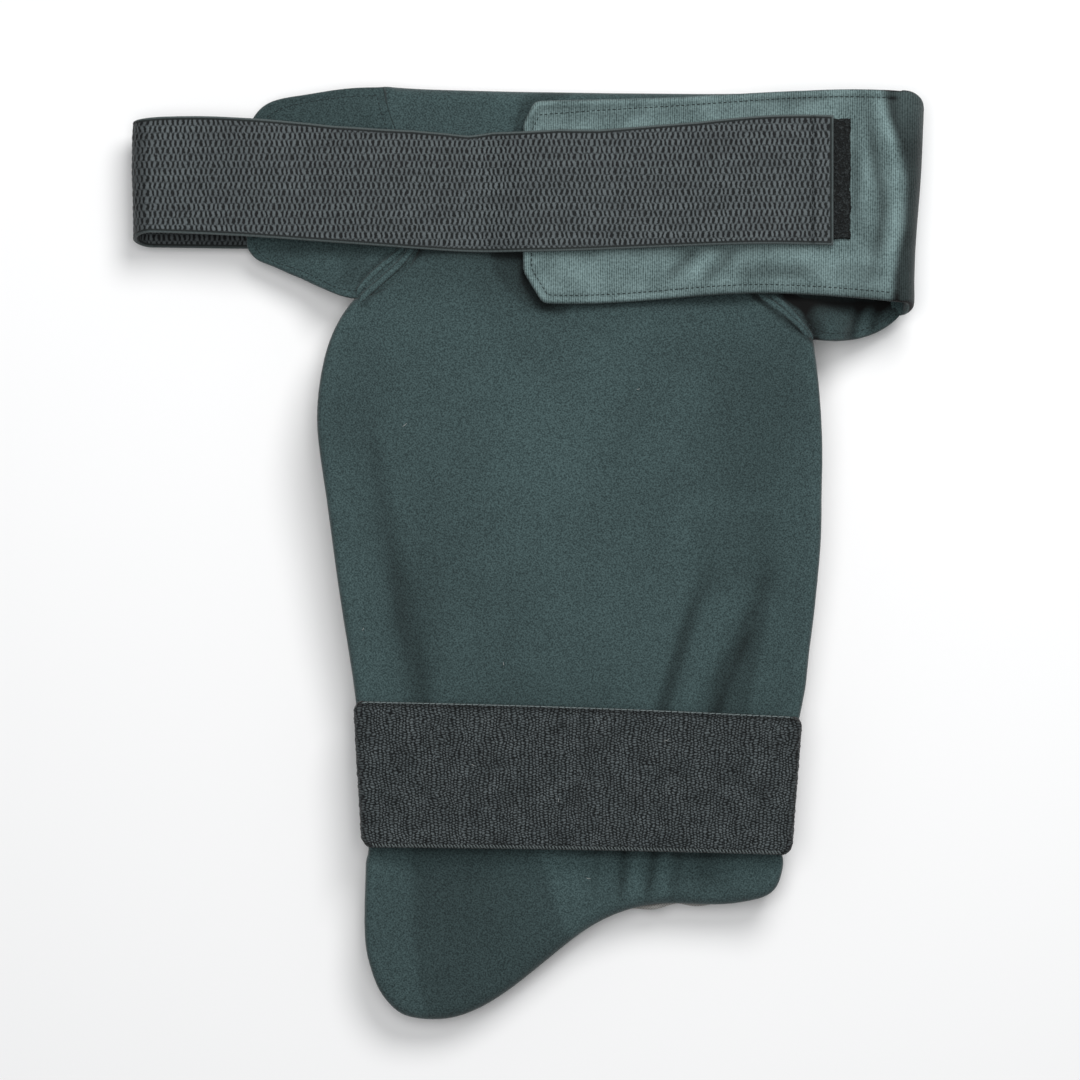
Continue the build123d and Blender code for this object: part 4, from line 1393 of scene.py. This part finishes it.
class StrapSide:
    """One half of the strap, read from its CAD solids: its side edge, and its line from the sewn end."""

    def __init__(self, side, name):
        self.side, self.name = side, name
        part = Solid(f"thigh_strap_{name}_part")
        out = part.points[:, 0] * side
        ends = part.points[out > out.max() - 5]
        self.top, self.low = ends[ends[:, 1].argmax()], ends[ends[:, 1].argmin()]
        self.lean = (self.low[0] - self.top[0]) / (self.top[1] - self.low[1])
        self.edge = self.top[0] + side * (TOWEL_THICK / 2 - STRAP_PULL) + (0.6 if side > 0 else 0)
        middle = Solid("thigh_strap_middle").height([(TOWEL_SPLIT_X, TOWEL_MIDDLE_Y)])[0]
        under_x = np.linspace(self.edge - side * TOWEL_SEWN_RUN, self.edge, 30)
        under = np.stack([under_x, under_face(under_x, PAD_THICK + TOWEL_THICK / 2)], 1)
        corner = [self.edge, part.high[2] - TOWEL_THICK / 2 if side > 0 else part.low[2] + TOWEL_THICK / 2]
        line = np.concatenate([under, [corner, [TOWEL_SPLIT_X, middle - TOWEL_THICK / 2]]])
        self.line = soften(line, CORNER_RADIUS)
        along = along_line(self.line)
        self.length = along[-1]
        self.to_corner = along[np.abs(self.line - corner).sum(1).argmin()]
        if side > 0:
            self.line = self.line[::-1]

    def from_sewn_end(self, s):
        return s if self.side < 0 else self.length - s

    def edges(self, x):
        """Lowest and highest y of the strap at x."""
        share = np.clip((x - LEFT_SIDE.top[0]) / (RIGHT_SIDE.top[0] - LEFT_SIDE.top[0]), 0, 1)
        high = LEFT_SIDE.top[1] + (RIGHT_SIDE.top[1] - LEFT_SIDE.top[1]) * share
        low = LEFT_SIDE.low[1] + (RIGHT_SIDE.low[1] - LEFT_SIDE.low[1]) * share
        return low, high

    def bow(self, x):
        """How far the strap bows towards the waist between the pad's two sides."""
        return TOWEL_BOW * np.sin(math.pi * np.clip((x + 70) / 178, 0, 1))

    def spans(self, line, along):
        on_top = self.from_sewn_end(along) > self.to_corner
        low, high = self.edges(np.where(on_top, line[:, 0], self.top[0]))
        bow = self.bow(line[:, 0]) * on_top
        return low + bow * 0.6 + TOWEL_NARROW, high + bow

    def shift(self, place):
        """The side edge leans in plan, and the lean dies away towards the middle of the strap."""
        weight = (self.length - self.from_sewn_end(place.s)) / (self.length - self.to_corner)
        lean = self.lean * (self.top[1] - place.y) * np.clip(weight, 0, 1)
        return np.stack([lean - self.side * self.tuck(place), np.zeros(len(lean)), np.zeros(len(lean))], 1)

    def tuck(self, place):
        """How far the strap's corners are drawn in where it turns round the pad's side."""
        round_side = smooth(1 - np.abs(place.x - self.edge) / 7.0)
        return CORNER_TUCK * round_side * np.clip(1 - place.depth / 4.5, 0, 1) ** 2

    def relief(self, place):
        u = place.s - self.length + TOWEL_SPLIT_X if self.side < 0 else place.s + TOWEL_SPLIT_X
        plan = np.stack([u, place.y], 1)
        lumps = 0.16 * ripple(plan, 3.0, 23) + 0.1 * ripple(plan, 1.8, 24)
        sag = 0.3 * ripple(plan, 45, 25)
        # Random tone, with painted shade along the edges and where the strap turns round the pad's side
        painted_shading_and_tone = 0.1 * ripple(plan, 14, 26) - 0.5 * bell(place.depth - 1.2, 0.9)
        painted_shading_and_tone -= 0.35 * smooth(1 - np.abs(place.x - self.edge) / 4.0)
        return lumps + sag, 0.5 * lumps - sag, painted_shading_and_tone

    def bend(self, piece):
        """Bakes the piece's transform into its mesh."""
        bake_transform(piece)

    def build(self):
        finished = self.side < 0, self.side > 0
        piece = ribbon(f"thigh_strap_{self.name}", self.line, self.spans, 0.6, across_strap(58, 0.55),
                       TOWEL_THICK, 0.8, [TOWELLING], finished, self.relief, self.shift)
        self.piece = piece
        nodes = [f"thigh_strap_{self.name}_{kind}" for kind in ("part", "end")]
        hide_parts(*nodes, *(["thigh_strap_middle"] if self.side < 0 else []))
        self.bend(piece)

    def overlock(self, name, y_side):
        """Overlock along one edge of the half strap: fine along the upper, slanting along the lower."""
        x = np.linspace(self.edge - self.side * 3.5, TOWEL_SPLIT_X, 60)
        low, high = self.edges(x)
        bow = self.bow(x)
        inset = 0.3 + 1.4 * smooth(1 - np.abs(x - self.edge) / 6.5) ** 2
        y = high + bow - inset if y_side > 0 else low + 0.6 * bow + TOWEL_NARROW + inset + 0.6
        x = x + self.lean * (self.top[1] - y) * (np.abs(x - TOWEL_SPLIT_X) / abs(self.edge - TOWEL_SPLIT_X))
        line = np.stack([x, y], 1)
        line = line[line[:, 0].argsort()]
        piece = stitches(name, line, resting_on(self.piece), *OVERLOCK[y_side])
        self.bend(piece)


LEFT_SIDE, RIGHT_SIDE = StrapSide(-1, "left"), StrapSide(1, "right")


# ---------------------------------------------------------------------------
# Stitching and lint

STITCH, STITCH_GAP = 1.5, 0.6
# Two rows across each sewn end of the thigh strap: how far in from the pad's side
END_ROWS = (6.0, 22.0)
# The seam strips at the wings: points along each one, its width and its height
WELTS = {
    "left_wing_welt_outer": ([(-68.6, 103.6), (-66.3, 107.6), (-59.4, 114.9), (-53, 120.2), (-47, 127)],
                             2.6, 0.8),
    "left_wing_welt_inner": ([(-67.4, 100.6), (-65.4, 103.4), (-57.6, 110.6), (-50.6, 117.4), (-44, 126)],
                             2.9, 0.8),
    "right_wing_welt_outer": ([(97, 103.5), (103, 98.5), (110.4, 89.6), (113.4, 85.4)], 2.6, 0.8),
    "right_wing_welt_inner": ([(92, 104), (99, 99), (107.6, 91.2), (112, 86)], 2.4, 0.7),
}


def inner_line(rim, inset, keep):
    """The longest stretch of a line inside a rim for whose points keep is true."""
    moved = rim + inward(rim) * inset
    moved = moved[(reach(moved, rim, closed=True) > inset * 0.97) & inside(moved, rim)]
    good = keep(moved)
    if good.all():
        return np.vstack([moved, moved[:1]])
    moved, good = np.roll(moved, -good.argmin(), 0), np.roll(good, -good.argmin())
    best, run = [], []
    for point, on in zip(moved, good):
        run = run + [point] if on else []
        best = run if len(run) > len(best) else best
    return np.array(best)


def stitch_wing(side, piece):
    rim = WING_RIMS[side]

    def keep(plan):
        away, _ = pad_side(plan)
        return (np.abs(plan[:, 0] - FOLD_X) > HEM + 0.5) & (away > 2.5)

    row = stitches(f"{side}_wing_stitching", inner_line(rim, HEM, keep), resting_on(piece),
                   STITCH, STITCH_GAP, 0.4, FABRIC_THREAD)
    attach(row, "pad")


def stitch_flap(piece):
    def keep(plan):
        return plan[:, 0] < FOLD_X - HEM - 1

    row = stitches("flap_stitching", inner_line(FLAP_RIM, HEM + 0.4, keep), resting_on(piece),
                   STITCH, STITCH_GAP, 0.42, FLAP_THREAD)
    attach(row, "waist_flap")


def welts(*pieces):
    """The folded seam strips where the wings are sewn to the pad's neck."""
    surface = resting_on(*pieces)
    for name, (line, width, rise) in WELTS.items():
        strip = welt(name, line, surface, width, rise, LEG_FABRIC)
        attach(strip, "pad")


def stitch_belt_end(piece):
    x = STRAP_END_X - HEM_FOLD - 0.3
    low, high = span_at(FRONT_RIM, np.array([x]))
    line = [(x, low[0] + 1.5), (x, high[0] - 1.5)]
    row = stitches("belt_end_stitching", line, resting_on(piece), STITCH, STITCH_GAP, 0.45, DARK_THREAD)
    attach(row, "waist_strap")


def stitch_thigh_strap_ends():
    """Two rows across each sewn end, under the pad."""
    for half in (LEFT_SIDE, RIGHT_SIDE):
        for i, run in enumerate(END_ROWS):
            x = half.edge - half.side * run
            line = [(x, half.top[1] - 3), (x + half.low[0] - half.top[0], half.low[1] + 3)]

            def surface(plan):
                return under_face(plan[:, 0], PAD_THICK + TOWEL_THICK + 0.35)

            row = stitches(f"strap_{half.name}_end_row_{i + 1}", line, surface,
                           2.2, 0.7, 0.6, DARK_THREAD)
            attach(row, "pad")


# Stray fibres: where each lies on the leg face and how it points, in degrees
LEG_LINT = [(-49.6, 51.6, 40, 2.2), (-10, -44, 100, 1.4), (44, 66, 10, 1.3), (24, -130, -10, 2.0),
            (-66, -30, 60, 1.2)]
STRAP_TOP_Z, STRAP_SLOPE = 33.6, 0.0158
STRAP_LINT = [(54.8, -74.2, 20, 2.4), (12.0, -98, 80, 1.6), (-22.0, -84, 150, 1.3)]


def fibre(x, y, angle, length, height):
    """A short bent fibre round a plan point; height(plan) is what it lies on."""
    way = np.array([math.cos(math.radians(angle)), math.sin(math.radians(angle))])
    side = np.array([-way[1], way[0]])
    share = np.linspace(-0.5, 0.5, 7)
    plan = np.array([x, y]) + way * share[:, None] * length + side * (0.25 * length * share**2)[:, None]
    return np.column_stack([plan, height(plan)])


def add_lint():
    def leg_height(plan):
        return under_face(plan[:, 0], 0.0) + leg_relief(plan) + 0.1

    def strap_height(plan):
        return STRAP_TOP_Z + (plan[:, 0] + 20) * STRAP_SLOPE + 0.55

    fibres = [fibre(*facts, leg_height) for facts in LEG_LINT]
    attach(threads("leg_lint", fibres, 0.22, LINT), "pad")
    fibres = [fibre(*facts, strap_height) for facts in STRAP_LINT]
    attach(threads("strap_lint", fibres, 0.22, LINT), "thigh_strap")


# ---------------------------------------------------------------------------
# Everything

add_camera()
add_studio()
leg = leg_cover()
outer_cover()
left_wing = wing("left", LEG_FABRIC)
right_wing = wing("right", WING_BACK_FABRIC, fold_x=FOLD_X)
welts(leg, left_wing, right_wing)
stitch_wing("left", left_wing)
stitch_wing("right", right_wing)
stitch_flap(flap())
stitch_belt_end(waist_strap())
rear_run()
hook_patch()
for half in (LEFT_SIDE, RIGHT_SIDE):
    half.build()
    half.overlock(f"strap_{half.name}_upper_overlock", 1)
    half.overlock(f"strap_{half.name}_lower_overlock", -1)
stitch_thigh_strap_ends()
add_lint()
